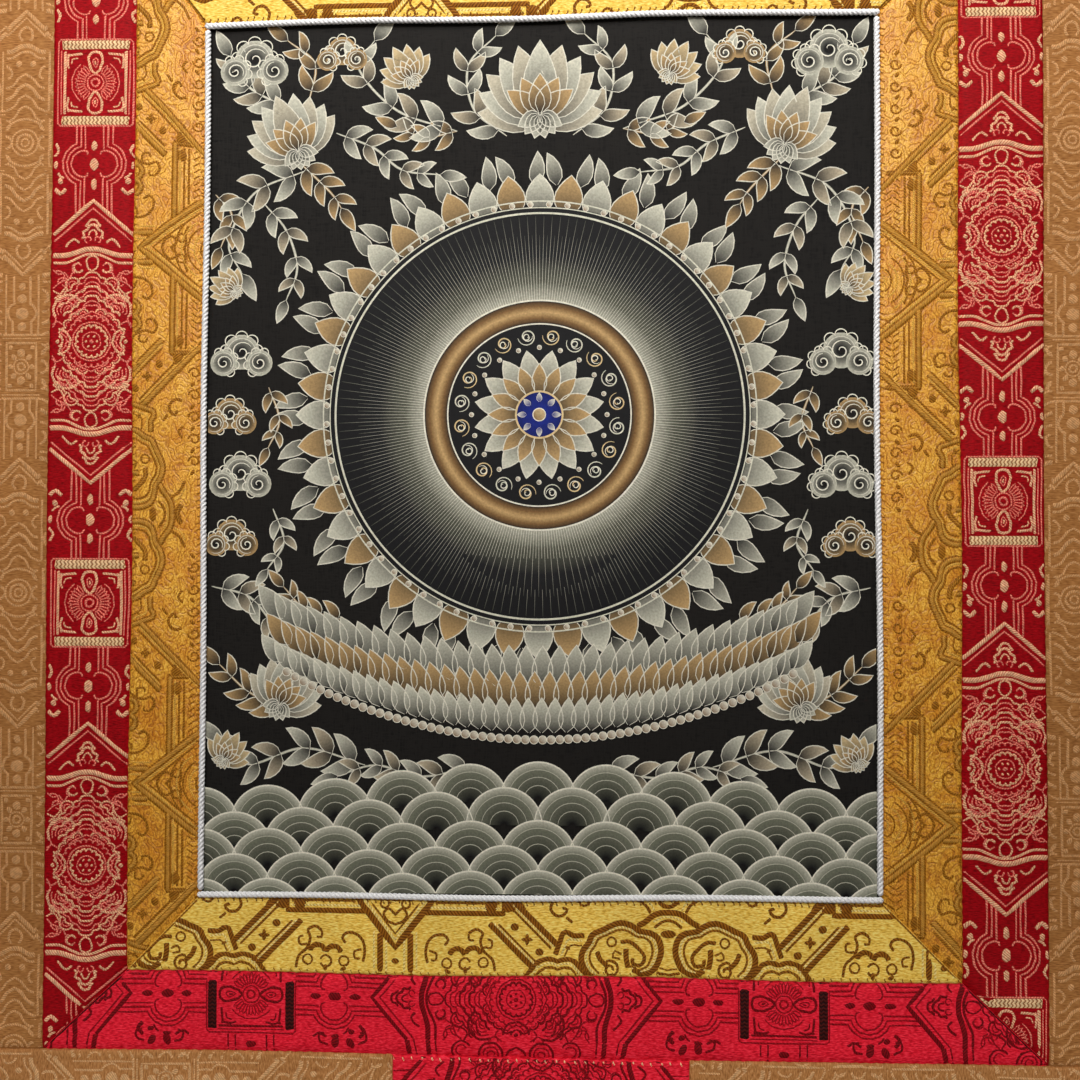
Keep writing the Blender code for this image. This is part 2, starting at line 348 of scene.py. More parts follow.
painted_canvas = laid_cloth(
    "painted_cloth",
    steps(PICTURE_LEFT - CANVAS_REACH, PICTURE_RIGHT + CANVAS_REACH, 5.0, CANVAS_STEPS),
    steps(PICTURE_FOOT - CANVAS_REACH, PICTURE_TOP + CANVAS_REACH, 5.0, CANVAS_STEPS),
    lambda column, row: (column, row),
    canvas_face,
    [black_ground, raw_cotton],
)
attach(painted_canvas, "root")
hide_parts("painted_canvas")

# The painting: fine gold and silver-cream paint laid on the black cloth in even gradations, with hair
# lines round each form. It is a plain ornament of lotus flowers, leaves, rays and scroll clouds.
PICTURE_MIDDLE = (PICTURE_TOP + PICTURE_FOOT) / 2
PAINT_LIFT = 0.02


def paint_of(red, green, blue):
    """A paint's colour, as numbers that can be mixed."""
    return np.array(tint(red, green, blue)[:3])


INK = paint_of(20, 20, 22)
SILVER = paint_of(222, 220, 200)
CREAM = paint_of(240, 236, 218)
GOLD_PAINT = paint_of(202, 166, 112)
BRONZE = paint_of(132, 98, 58)
MOSS = paint_of(112, 114, 98)
DEEP_BLUE = paint_of(18, 36, 128)
PALE_GOLD = paint_of(226, 200, 150)

painting = []


def brush_patch(grid, colours, lift):
    """A form laid down with the brush: a grid of places in millimetres, with a colour for each."""
    painting.append((np.array(grid, float), np.array(colours, float), lift))


def is_closed(line):
    """Whether a line ends where it starts."""
    return len(line) > 3 and np.allclose(line[0], line[-1])


def beside_line(line):
    """The way straight out to the left of each place on a line."""
    heading = np.gradient(line, axis=0)
    if is_closed(line):
        heading[0] = heading[-1] = line[1] - line[-2]
    heading /= np.maximum(np.linalg.norm(heading, axis=1, keepdims=True), 1e-9)
    return np.column_stack([-heading[:, 1], heading[:, 0]])


def brush_line(points, width, colour, lift, fade=None):
    """A hair line along some points, thin at its ends, that may fade into another colour."""
    line = np.array(points, float)
    closed = is_closed(line)
    side = beside_line(line)
    share = np.linspace(0.0, 1.0, len(line))
    swell = np.ones(len(line)) if closed else 0.35 + 0.65 * np.sin(math.pi * share) ** 0.6
    half = (swell * width / 2)[:, None] * side
    tone = np.repeat(np.array(colour, float)[None, :], len(line), axis=0)
    if fade is not None:
        tone = tone + (np.array(fade, float) - tone) * share[:, None]
    brush_patch(np.stack([line - half, line + half], axis=1), np.stack([tone, tone], axis=1), lift)


def curved(points, step=1.2):
    """A smooth line through the given points, with a place about every step."""
    given = np.array(points, float)
    ends = np.vstack([2 * given[0] - given[1], given, 2 * given[-1] - given[-2]])
    if is_closed(given):
        ends = np.vstack([given[-2], given, given[1]])
    runs = []
    for number in range(len(given) - 1):
        before, start, end, after = ends[number : number + 4]
        count = max(2, round(float(np.linalg.norm(end - start)) / step))
        share = np.linspace(0.0, 1.0, count, endpoint=False)[:, None]
        bend = (2 * before - 5 * start + 4 * end - after) * share**2
        turn = (3 * start - before - 3 * end + after) * share**3
        runs.append(0.5 * (2 * start + (end - before) * share + bend + turn))
    return np.vstack([*runs, given[-1:]])


def arc(centre, radius, start, end, step=1.2):
    """Places on an arc, from one angle to another in degrees."""
    count = max(4, math.ceil(abs(math.radians(end - start)) * radius / step))
    angle = np.radians(np.linspace(start, end, count + 1))
    return np.column_stack([centre[0] + radius * np.cos(angle), centre[1] + radius * np.sin(angle)])


def polar(centre, radius, angle):
    """The place at a distance from a centre, on a heading in degrees."""
    turn = math.radians(angle)
    return (centre[0] + radius * math.cos(turn), centre[1] + radius * math.sin(turn))


def spiral(centre, radius, start, turns, step=1.0, inner=0.15):
    """Places on a curl that winds in from its rim to its eye."""
    count = max(8, round(abs(turns) * math.tau * radius * 0.6 / step))
    share = np.linspace(0.0, 1.0, count + 1)
    angle = math.radians(start) + turns * math.tau * share
    reach = radius * (1.0 - (1.0 - inner) * share)
    return np.column_stack([centre[0] + reach * np.cos(angle), centre[1] + reach * np.sin(angle)])


def petal(root, heading, length, width, dark, light, lift, curl=0.0, line=0.42, rows=7, tone=1.3, point=0.72):
    """A petal or leaf, shaded from its root to its tip, with a hair line round it. heading is in degrees."""
    along = np.linspace(0.0, 1.0, rows)
    angle = math.radians(heading) + curl * along**1.5
    pace = length / (rows - 1)
    spine = np.array(root, float) + np.vstack(
        [np.zeros(2), np.cumsum(np.column_stack([np.cos(angle), np.sin(angle)])[:-1] * pace, axis=0)]
    )
    side = np.column_stack([-np.sin(angle), np.cos(angle)])
    half = width / 2 * np.sin(math.pi * along**point) ** 0.85
    half[0] = width * 0.05
    half[-1] = 0.0
    across = np.array([-1.0, -0.5, 0.5, 1.0])
    grid = spine[:, None, :] + side[:, None, :] * (half[:, None] * across[None, :])[:, :, None]
    edge_glow = 0.22 * np.abs(across)[None, :] * along[:, None] ** 0.4
    glow = np.clip(along[:, None] ** tone * 0.9 + edge_glow, 0, 1)
    brush_patch(grid, dark + (light - dark) * glow[:, :, None], lift)
    rim = np.vstack([grid[:, 0], grid[-2::-1, 3]])
    brush_line(rim, line, CREAM * 0.9, lift + 0.012)


def blossom(centre, heading, size, lift, light=SILVER, count=9, spread=150.0):
    """A lotus seen from the side: petals fanned about its heading, the middle one in front."""
    heart = GOLD_PAINT
    order = sorted(range(count), key=lambda number: -abs(number - (count - 1) / 2))
    for rank, number in enumerate(order):
        off = (number - (count - 1) / 2) / ((count - 1) / 2)
        angle = heading + off * spread / 2
        reach = size * (1.0 - 0.16 * abs(off))
        warm = light if number % 2 else light * 0.75 + heart * 0.25
        petal(centre, angle, reach, size * 0.46, INK, warm, lift + 0.012 * rank, curl=-0.35 * off, rows=8)
    front = lift + 0.012 * (count + 1)
    for number in range(5):
        angle = heading + (number - 2) * 27.0
        petal(centre, angle, size * 0.55, size * 0.3, INK, heart, front + 0.008 * (2 - abs(number - 2)))
    for number in range(6):
        angle = heading + 180.0 + (number - 2.5) * 24.0
        petal(centre, angle, size * 0.34, size * 0.22, INK, light * 0.8, front + 0.03, rows=6)


def rings(centre, reach, end, sides):
    """A grid of places round a centre, at each reach, from the heading of 0 degrees to the end's."""
    angle = np.radians(np.linspace(0.0, end, sides + 1))
    x = centre[0] + reach[:, None] * np.cos(angle)[None, :]
    z = centre[1] + reach[:, None] * np.sin(angle)[None, :]
    return np.stack([x, z], axis=2)


def disc(centre, radius, light, lift, line=0.45, sides=14):
    """A round bronze form, shaded from a dark side to a lit one, with a hair line round it."""
    grid = rings(centre, np.array([0.0, 0.55, 1.0]) * radius, 360.0, sides)
    off = grid - np.array(centre, float)
    lit = np.clip(0.5 + 0.5 * off.sum(axis=2) / (1.6 * radius), 0, 1)
    brush_patch(grid, BRONZE + (light - BRONZE) * lit[:, :, None], lift)
    brush_line(arc(centre, radius, 0, 360, radius * 0.42), line, CREAM, lift + 0.01)


def band(centre, inner, outer, tones, lift, sides=96, end=360.0):
    """A ring of paint that runs through some colours from its inner edge to its outer one."""
    grid = rings(centre, np.linspace(inner, outer, len(tones)), end, sides)
    brush_patch(grid, np.repeat(np.array(tones, float)[:, None, :], sides + 1, axis=1), lift)


def sprig(points, size, lift, light, pairs):
    """A stem with pairs of leaves along it and one at its tip."""
    stem = curved(points, 2.0)
    brush_line(stem, 0.9, light * 0.7, lift)
    brush_line(stem, 0.3, CREAM * 0.9, lift + 0.01)
    heading = np.degrees(np.arctan2(np.gradient(stem[:, 1]), np.gradient(stem[:, 0])))
    for number in range(pairs):
        share = (number + 0.6) / (pairs + 0.4)
        place = int(share * (len(stem) - 1))
        length = size * (1.0 - 0.3 * share)
        over = lift + 0.02 + 0.006 * number
        for way in (-1, 1):
            tone = light if (number + way) % 2 else light * 0.55 + GOLD_PAINT * 0.45
            angle = heading[place] + way * 48.0
            petal(stem[place], angle, length, length * 0.42, INK, tone, over, -0.7 * way)
    petal(stem[-1], heading[-1], size * 0.9, size * 0.4, INK, light, lift + 0.05)


def cloud(centre, size, lift, light, flip=1.0):
    """A scroll cloud: three shaded curls over a tail, each with its eye."""
    lobes = ((0.0, 0.28, 0.62, 90.0), (-0.62, -0.1, 0.46, 150.0), (0.62, -0.1, 0.46, 30.0))
    for rank, (off_x, off_z, share, lean) in enumerate(lobes):
        middle = (centre[0] + off_x * size * flip, centre[1] + off_z * size)
        reach = size * share
        over = lift + 0.02 * rank
        band(middle, reach * 0.22, reach, (INK, INK * 0.6 + light * 0.25, light * 0.85), over, 18)
        for turn in range(5):
            rise = lean + (turn - 2) * 42.0
            knob = polar(middle, reach * 0.86, rise)
            brush_line(arc(knob, reach * 0.34, rise - 100, rise + 100, 0.9), 0.42, CREAM, over + 0.015)
        brush_line(spiral(middle, reach * 0.62, lean - 60, 1.4, 0.9), 0.5, CREAM, over + 0.018)
        rim = arc(middle, reach * 0.78, lean - 150, lean + 150, 1.1)
        brush_line(rim, 0.36, CREAM * 0.8, over + 0.016)


MEDAL = (0.0, 14.0)


def around(count, reach, offset=0.0):
    """Places round the medallion: the heading in degrees and the point at that reach."""
    for number in range(count):
        heading = offset + 360.0 * number / count
        yield number, heading, polar(MEDAL, reach, heading)


# The medallion, from its rim inwards: leaves, lotus petals, rays, a bronze ring, scrolls and the core
for number, heading, root in around(64, 84.0, 1.4):
    petal(root, heading + (14 if number % 2 else -14), 12.5, 5.4, INK, SILVER * 0.8, 0.02, 0.4, rows=6)
for number, heading, root in around(48, 72.5):
    warm = GOLD_PAINT if number % 2 else SILVER
    petal(root, heading, 15.5, 10.2, INK, warm, 0.05 + 0.012 * (number % 2), rows=8, tone=1.1, point=0.85)
band(MEDAL, 39.0, 76.0, (SILVER * 0.8, MOSS * 0.62, INK * 1.5, INK, INK), 0.10)
for number, heading, root in around(300, 41.0):
    tip = polar(root, 24.5 if number % 2 else 31.5, heading)
    brush_line((root, tip), 0.42, CREAM, 0.12, fade=MOSS * 0.4)
for reach, width in ((73.6, 0.7), (75.6, 0.4), (78.0, 0.5)):
    brush_line(arc(MEDAL, reach, 0, 360, 2.4), width, SILVER, 0.13)
for number, heading, root in around(72, 76.8, 2.5):
    disc(root, 1.0, CREAM, 0.135, 0.2, sides=8)
band(MEDAL, 33.0, 41.5, (INK, BRONZE, GOLD_PAINT, BRONZE, INK), 0.14)
brush_line(arc(MEDAL, 33.0, 0, 360, 1.6), 0.5, CREAM, 0.15)
brush_line(arc(MEDAL, 41.6, 0, 360, 1.9), 0.6, CREAM, 0.15)
band(MEDAL, 20.0, 33.0, (INK, INK), 0.13)
for number, heading, root in around(20, 28.6, 9.0):
    curl = spiral(root, 3.4, heading + 90, 1.6, 0.7)
    brush_line(curl, 0.5, SILVER if number % 2 else PALE_GOLD, 0.16)
    brush_line(spiral(root, 2.0, heading - 90, -1.2, 0.6), 0.36, CREAM, 0.162)
for number, heading, root in around(20, 24.4):
    disc(root, 0.8, CREAM, 0.162, 0.2, sides=8)
for number, heading, root in around(16, 9.0, 11.25):
    petal(root, heading, 14.5, 7.4, INK, SILVER, 0.17, rows=8, tone=1.0, point=0.85)
for number, heading, root in around(16, 7.0):
    petal(root, heading, 11.5, 5.4, INK, GOLD_PAINT, 0.20, rows=7, tone=0.9, point=0.85)
band(MEDAL, 0.0, 8.4, (DEEP_BLUE * 1.3, DEEP_BLUE, DEEP_BLUE * 0.6), 0.23, 32)
brush_line(arc(MEDAL, 8.4, 0, 360, 0.9), 0.7, PALE_GOLD, 0.24)
for number, heading, root in around(8, 4.6):
    petal(root, heading, 3.4, 2.0, DEEP_BLUE, CREAM, 0.245, rows=5, line=0.2)
disc(MEDAL, 2.3, PALE_GOLD, 0.25, 0.35)

# Flowers and leaf sprays in the corners, the same left and right, and scroll clouds between them. Places
# are out from the middle and up.
CORNER_FORMS = (
    # form, size, lift, paint, pairs of leaves or petals, lean, places
    ("sprig", 13.0, 0.03, SILVER, 5, 0, (30, 118), (52, 126), (66, 142), (60, 152)),
    ("sprig", 12.5, 0.03, SILVER, 5, 0, (86, 104), (104, 96), (113, 78), (108, 66)),
    ("sprig", 11.0, 0.02, GOLD_PAINT, 3, 0, (88, 108), (76, 96), (72, 90)),
    ("sprig", 12.0, 0.02, SILVER, 4, 0, (92, 128), (106, 136), (113, 148)),
    ("sprig", 11.0, 0.02, GOLD_PAINT, 3, 0, (84, 130), (82, 144), (92, 153)),
    ("blossom", 22.0, 0.10, SILVER, 9, -22, (88, 112)),
    ("blossom", 13.0, 0.10, PALE_GOLD, 7, -30, (47, 138)),
    ("blossom", 10.0, 0.10, PALE_GOLD, 7, -60, (111, 60)),
    ("cloud", 10.5, 0.06, SILVER, 0, 0, (108, 34)),
    ("cloud", 9.0, 0.06, GOLD_PAINT, 0, 0, (112, 12)),
    ("cloud", 10.5, 0.06, SILVER, 0, 0, (108, -10)),
    ("cloud", 9.0, 0.06, GOLD_PAINT, 0, 0, (111, -32)),
    ("sprig", 11.0, 0.03, SILVER, 4, 0, (118, -48), (104, -52), (94, -64)),
    ("sprig", 13.0, 0.03, SILVER, 6, 0, (62, -112), (84, -106), (104, -112), (114, -104)),
    ("sprig", 11.5, 0.03, GOLD_PAINT, 4, 0, (90, -92), (104, -86), (115, -76)),
    ("blossom", 18.0, 0.10, SILVER, 9, 24, (93, -90)),
    ("blossom", 11.0, 0.10, PALE_GOLD, 7, 30, (113, -110)),
    ("sprig", 12.0, 0.03, SILVER, 5, 0, (12, 116), (24, 126), (26, 142), (16, 153)),
    ("sprig", 10.5, 0.02, SILVER, 5, 0, (74, 118), (60, 112), (50, 104), (36, 102)),
    ("sprig", 10.0, 0.02, SILVER, 4, 0, (100, 92), (92, 82), (88, 68), (92, 56)),
    ("sprig", 9.5, 0.02, GOLD_PAINT, 3, 0, (30, 118), (42, 116), (52, 120)),
    ("sprig", 9.5, 0.02, GOLD_PAINT, 3, 0, (118, 96), (112, 88), (116, 76)),
    ("sprig", 8.0, 0.02, GOLD_PAINT, 3, 0, (98, 24), (94, 12), (98, 2)),
    ("sprig", 8.0, 0.02, SILVER, 3, 0, (96, -20), (92, -32), (98, -42)),
    ("sprig", 9.0, 0.02, GOLD_PAINT, 4, 0, (70, -60), (84, -56), (92, -48)),
    ("sprig", 11.0, 0.02, SILVER, 6, 0, (22, -112), (42, -116), (58, -112), (72, -116)),
    ("cloud", 11.5, 0.07, SILVER, 0, 0, (104, 143)),
    ("cloud", 8.5, 0.07, GOLD_PAINT, 0, 0, (72, 146)),
)
for way in (-1.0, 1.0):
    for form, size, lift, light, count, lean, *places in CORNER_FORMS:
        places = [(way * x, z) for x, z in places]
        if form == "sprig":
            sprig(places, size, lift, light, count)
        elif form == "blossom":
            blossom(places[0], 90.0 + lean * way, size, lift, light, count)
        else:
            cloud(places[0], size, lift, light, way)
blossom((0.0, 124.0), 90.0, 27.0, 0.12, count=11, spread=190.0)

# A garland of leaves under the medallion, in three rows, from the back one to the front one, with a row
# of beads along its foot
GARLAND_HALF = 93.0
GARLAND = (
    # drop, leaves, leaf size, paint
    (-66.0, 34, 15.0, SILVER * 0.8),
    (-74.0, 38, 14.0, GOLD_PAINT),
    (-82.0, 42, 12.5, SILVER),
)
BEADS = 60
BEADS_HALF = 92.0
BEADS_DROP = -82.0


def sag(x):
    """How far the garland sags below its ends."""
    return 26.0 * math.cos(x / GARLAND_HALF * math.pi / 2) ** 0.8


for row, (drop, count, size, light) in enumerate(GARLAND):
    for number in range(count):
        share = (number + 0.5 * (row % 2) + 0.25) / count
        x = -GARLAND_HALF + 2 * GARLAND_HALF * share
        root = (x, drop - sag(x) + 8.0)
        over = 0.26 + 0.02 * row + 0.004 * (number % 3)
        petal(root, 90.0 - x * 0.42, size, size * 0.5, INK, light, over, tone=1.1)
for number in range(BEADS):
    x = -BEADS_HALF + 2 * BEADS_HALF * (number + 0.5) / BEADS
    z = BEADS_DROP - sag(x) + 5.5
    disc((x, z), 1.5, CREAM, 0.35, 0.25, sides=8)

# Water along the foot: rows of overlapping scales with pale rims, the front row lowest
WATER_LEVEL = -123.0
WATER_DROP = 9.0
WATER_HALF = 121.0
WATER_TONES = (INK, MOSS * 0.35, MOSS * 0.75, MOSS * 1.1, SILVER * 0.8)
SCALE_SIZE = 13.5
SCALE_SPACING = 24.2
for row in range(5):
    level = WATER_LEVEL - WATER_DROP * row
    over = 0.36 + 0.015 * row
    line_over = 0.362 + 0.015 * row
    for number in range(-1, 11):
        x = -WATER_HALF + SCALE_SPACING * (number + 0.5 * (row % 2))
        rise = 5.0 * math.cos(x / WATER_HALF * math.pi) * (1.0 if row < 2 else 0.4)
        middle = (x, level + rise - 6.0)
        band(middle, 1.0, SCALE_SIZE, WATER_TONES, over, 22, 180.0)
        rim = arc(middle, SCALE_SIZE, 2, 178, 1.6)
        brush_line(rim, 0.6, CREAM, line_over)
        for share in (0.8, 0.6, 0.38):
            line = arc(middle, SCALE_SIZE * share, 2, 178, 1.6)
            brush_line(line, 0.3, SILVER * 0.7, line_over)


def laid_painting(name, forms):
    """Some of the painted forms as one thin coat of paint, cut at the cord and laid on the cloth."""
    points = []
    faces = []
    colours = []
    start = 0
    for grid, tones, lift in forms:
        wide, high = grid.shape[:2]
        number = start + np.arange(wide * high).reshape(wide, high)
        points.append(np.column_stack([grid.reshape(-1, 2), np.full(wide * high, lift)]))
        colours.append(tones.reshape(-1, 3))
        faces.append(strip_faces(number))
        start += wide * high
    brushed_colours = np.column_stack([np.vstack(colours), np.ones(start)]).astype(np.float32)
    piece = add_mesh(name, np.vstack(points), np.vstack(faces), [paint])
    layer = piece.data.color_attributes.new("brushed", "FLOAT_COLOR", "POINT")
    layer.data.foreach_set("color", brushed_colours.ravel())
    mesh = bmesh.new()
    mesh.from_mesh(piece.data)
    bmesh.ops.dissolve_degenerate(mesh, dist=0.004, edges=mesh.edges[:])
    for reach, axis in ((PICTURE_RIGHT - 0.85, (1, 0, 0)), (PICTURE_TOP - PICTURE_MIDDLE - 0.8, (0, 1, 0))):
        for way in (-1.0, 1.0):
            away = [value * way for value in axis]
            edge = [value * reach for value in away]
            cut_away(mesh, edge, away)
    mesh.normal_update()
    turned = [face for face in mesh.faces if face.normal.z < 0]
    bmesh.ops.reverse_faces(mesh, faces=turned)
    flat = np.array([vertex.co for vertex in mesh.verts])
    x = flat[:, 0] * MM
    z = (flat[:, 1] + PICTURE_MIDDLE) * MM
    y = hang(x, z) + (CANVAS_DEPTH - PAINT_LIFT - flat[:, 2]) * MM
    for vertex, place in zip(mesh.verts, np.column_stack([x, y, drawn(x, z)])):
        vertex.co = place
    mesh.to_mesh(piece.data)
    mesh.free()
    bake_map(piece)
    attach(piece, "root")


paint, paint_tree, paint_shader = new_finish("brushed_gold_and_silver_paint", 0.6, specular=0.15)
brushed = paint_tree.nodes.new("ShaderNodeAttribute")
brushed.attribute_name = "brushed"
grain = threads(paint_tree, (1400.0, 400.0, 1400.0), 3.0)
thin = ramp(paint_tree, grain, ((0.3, grey(0.7)), (0.7, grey(1.0))))
thinned = blended(paint_tree, brushed.outputs["Color"], thin, 1.0, "MULTIPLY")
paint_tree.links.new(thinned, paint_shader.inputs["Base Color"])
raise_weave(paint_tree, paint_shader, grain, 0.0001, 0.5)

half = len(painting) // 2
laid_painting("painting_medallion", painting[:half])
laid_painting("painting_flowers", painting[half:])

# The edging cord: three-ply bluish-white cord, sewn by hand over the joint between the painted cloth
# and the gold border. Each of its four lengths ends on its own at the corners.
CORD_RADIUS = 1.2
STRAND_RADIUS = 0.74
STRAND_OFF = 0.46
STRAND_SIDES = 7
CORD_TWIST = 5.0
CORD_END = 0.9
CORD_PROUD = 0.6
RING_SPACING = 0.42


def twisted_cord(side, finish):
    """One length of cord: three strands wound round its line, drawn in to blunt ends."""
    upright = side in UPRIGHT
    length = (PICTURE_TOP - PICTURE_FOOT) if upright else (PICTURE_RIGHT - PICTURE_LEFT)
    inset = (CORD_RADIUS + 0.3) / length if upright else -CORD_RADIUS / length
    count = round(length / RING_SPACING)
    share = inset + (1.0 - 2 * inset) * np.arange(count + 1) / count
    x, z = seam("cord", side, share)
    y = hang(x * MM, z * MM) / MM - CORD_PROUD
    line = np.column_stack([x, y, drawn(x * MM, z * MM) / MM])
    along = np.gradient(line, axis=0)
    along /= np.linalg.norm(along, axis=1, keepdims=True)
    front = np.cross(along, np.cross(np.tile([0.0, -1.0, 0.0], (count + 1, 1)), along))
    beside = np.cross(along, front)
    run = np.linspace(0.0, length, count + 1)
    close = np.sqrt(np.clip(np.minimum(run, length - run) / CORD_END, 0.0, 1.0))
    sides = STRAND_SIDES
    points = []
    faces = []
    bake = []
    for strand in range(3):
        turn = math.tau * (run / CORD_TWIST + strand / 3)
        off = STRAND_OFF * (0.3 + 0.7 * close)
        centre = line + (np.cos(turn) * off)[:, None] * front + (np.sin(turn) * off)[:, None] * beside
        first = len(points)
        for ring in range(count + 1):
            for corner in range(sides):
                angle = turn[ring] + math.tau * corner / sides
                thick = STRAND_RADIUS * (0.15 + 0.85 * close[ring])
                points.append(
                    centre[ring] + thick * (math.cos(angle) * front[ring] + math.sin(angle) * beside[ring])
                )
        for ring in range(count):
            for corner in range(sides):
                a = first + ring * sides + corner
                b = first + ring * sides + (corner + 1) % sides
                faces.append((a, b, b + sides, a + sides))
                low = (strand + corner / sides) / 3
                high = (strand + (corner + 1) / sides) / 3
                start = ring / count
                end = (ring + 1) / count
                bake.extend(((start, low), (start, high), (end, high), (end, low)))
        for ring, order in ((0, range(sides - 1, -1, -1)), (count, range(sides))):
            faces.append(tuple(first + ring * sides + corner for corner in order))
            bake.extend([(ring / count, strand / 3)] * sides)
    piece = add_mesh(f"twisted_cord_{side}", np.array(points) * MM, faces, [finish])
    face_outwards(piece)
    add_map(piece, "OFBake", bake)
    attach(piece, "root")
    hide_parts(f"edging_cord_{side}")


cord_white, cord_tree, cord_shader = new_finish("bluish_white_cord", 0.6, sheen=0.15)
cord_fibre = threads(cord_tree, (2200.0, 2200.0, 2200.0), 2.0)
cord_tone = ramp(cord_tree, cord_fibre, ((0.3, tint(222, 222, 226)), (0.62, tint(254, 254, 254))))
cord_tree.links.new(cord_tone, cord_shader.inputs["Base Color"])
raise_weave(cord_tree, cord_shader, cord_fibre, 0.0001, 0.6)
for side in UPRIGHT + LEVEL:
    twisted_cord(side, cord_white)

# The gold border: four strips of gold brocade with diagonal bars, cloud heads and vines woven in. Their
# inner edges go under the cord, the level strips lie over the upright ones at the mitred corners, and
# their outer edges are folded over the red border.
CLOTH_THICKNESS = 0.9
CROWN = 0.4
SEWN_UNDER = 5.0
CUT_MARGIN = 0.35
BORDERS = {
    # cloth: inner seam, outer seam
    "gold": ("cord", "gold"),
    "red": ("gold", "red"),
    "brown": ("red", "mount"),
}


def folded_over(gap):
    """How far back the face lies by a folded edge that is sewn on top, at a gap from the edge."""
    return np.interp(gap, (0.0, 0.25, 0.6, 1.1, 2.5, 6.0), (0.6, 0.2, -0.06, -0.2, -0.14, 0.0))


def tucked_under(gap):
    """How far back the face lies where cloth goes under the next piece, at a gap from the seam."""
    return np.interp(gap, (-5.0, -1.0, 0.0, 0.7, 1.4, 3.0), (1.5, 1.4, 1.15, 0.62, 0.25, 0.0))


def under_cord(gap):
    """How far back the face lies where it goes under the cord."""
    return np.interp(gap, (0.0, 1.0, 1.8, 3.0), (0.85, 0.6, 0.15, 0.0))


def stitch_pull(gap, run):
    """The small uneven dips that the sewing thread draws along a seam."""
    pull = np.sin(run / 1.35) + 0.8 * np.sin(run / 2.07 + 1.0) + 0.6 * np.sin(run / 3.4 + 2.0)
    return 0.07 * pull * np.exp(-np.maximum(gap, 0.0) / 3.2)


EDGE_SHAPES = {"over": folded_over, "under": tucked_under, "cord": under_cord}


def sewn_face(depth, gaps, run):
    """How far behind the hang a piece's face lies once its edges are fixed, and how thick the cloth is
    there. Each gap is the way in from an edge, with how that edge is fixed."""
    thickness = np.full(np.shape(depth), CLOTH_THICKNESS)
    for gap, fixing in gaps:
        if fixing == "free":
            thickness = thickness + np.interp(gap, (9.0, 10.0), (0.5, 0.0))
            depth = depth + np.interp(gap, (0.0, 0.8, 9.0, 11.0), (0.25, -0.15, -0.12, 0.0))
            continue
        depth = depth + EDGE_SHAPES[fixing](gap) + stitch_pull(np.abs(gap), run)
        if fixing != "under":
            thickness = np.minimum(thickness, np.interp(gap, (0.0, 0.6), (0.35, CLOTH_THICKNESS)))
    return depth, thickness


def border_edges(cloth, side):
    """How each edge of a border piece is fixed: inner, outer, and both ends."""
    upright = side in UPRIGHT
    inner = {"gold": "cord", "red": "under", "brown": "under"}[cloth]
    outer = {"gold": "over", "red": "over" if upright else "under", "brown": "free"}[cloth]
    ends = "under" if upright else "over"
    return inner, outer, ends


def border_size(cloth, side):
    """The width of a border piece and its length along its inner seam, in millimetres."""
    inner, outer = BORDERS[cloth]
    edge = {"left": 0, "right": 1, "top": 2, "bottom": 3}[side]
    width = abs(SEAMS[outer][edge] - SEAMS[inner][edge])
    left, right, top, bottom = SEAMS[inner][:4]
    return width, (top - bottom) if side in UPRIGHT else (right - left)


def border_place(cloth, side, share, across):
    """Where a place on a border piece lies, in millimetres."""
    inner, outer = BORDERS[cloth]
    inner_x, inner_z = seam(inner, side, share)
    outer_x, outer_z = seam(outer, side, share)
    return inner_x + (outer_x - inner_x) * across, inner_z + (outer_z - inner_z) * across


def border_face(cloth, side, share, across, run):
    """How far behind the hang a border piece's face lies, and how thick the cloth is there."""
    width, length = border_size(cloth, side)
    inner, outer, ends = border_edges(cloth, side)
    square_ends = 1.0 if cloth == "brown" else 0.72
    gaps = (
        (across * width, inner),
        ((1.0 - across) * width, outer),
        (np.minimum(share, 1.0 - share) * length * square_ends, ends),
    )
    crown = 0.0 if cloth == "brown" else CROWN
    return sewn_face(-crown * np.sin(math.pi * np.clip(across, 0.0, 1.0)), gaps, run)


def border_cloth(cloth, side, finishes, step=2.6, along_step=1.5):
    """One border piece in cloth, with what of it goes under its neighbours."""
    width, length = border_size(cloth, side)
    inner, outer, ends = border_edges(cloth, side)
    edge_steps = {"over": FOLD_STEPS, "cord": FOLD_STEPS, "under": UNDER_STEPS, "free": HEM_STEPS}
    start = -SEWN_UNDER if inner == "under" else 0.0
    end = width + (SEWN_UNDER if outer == "under" else 0.0)
    across = steps(start, end, step, edge_steps[inner], edge_steps[outer]) / width
    past = SEWN_UNDER * 1.4 if ends == "under" else 0.0
    share = steps(-past, length + past, along_step, edge_steps[ends]) / length
    upright = side in UPRIGHT

    def place(along, out):
        return border_place(cloth, side, along, out)

    def face(along, out, x, z):
        return border_face(cloth, side, along, out, z if upright else x)

    return laid_cloth(f"{cloth}_cloth_{side}", share, across, place, face, finishes)


def strip_ends(cloth, side):
    """Where a border piece starts and ends along it: the start on its inner and outer seam, then the end."""
    inner, outer = (SEAMS[line] for line in BORDERS[cloth])
    first, last = (2, 3) if side in UPRIGHT else (0, 1)
    sign = -1.0 if side in UPRIGHT else 1.0
    return sign * inner[first], sign * outer[first], sign * inner[last], sign * outer[last]


def on_border(cloth, side):
    """Turns flat places on a border piece, along it and out from its inner seam, into places in space."""
    width, _ = border_size(cloth, side)
    start_in, start_out, end_in, end_out = strip_ends(cloth, side)

    def lay(along, out):
        across = out / width
        start = start_in + (start_out - start_in) * across
        end = end_in + (end_out - end_in) * across
        share = (along - start) / (end - start)
        x, z = border_place(cloth, side, share, across)
        depth, _ = border_face(cloth, side, share, across, z if side in UPRIGHT else x)
        return x, z, depth

    return lay


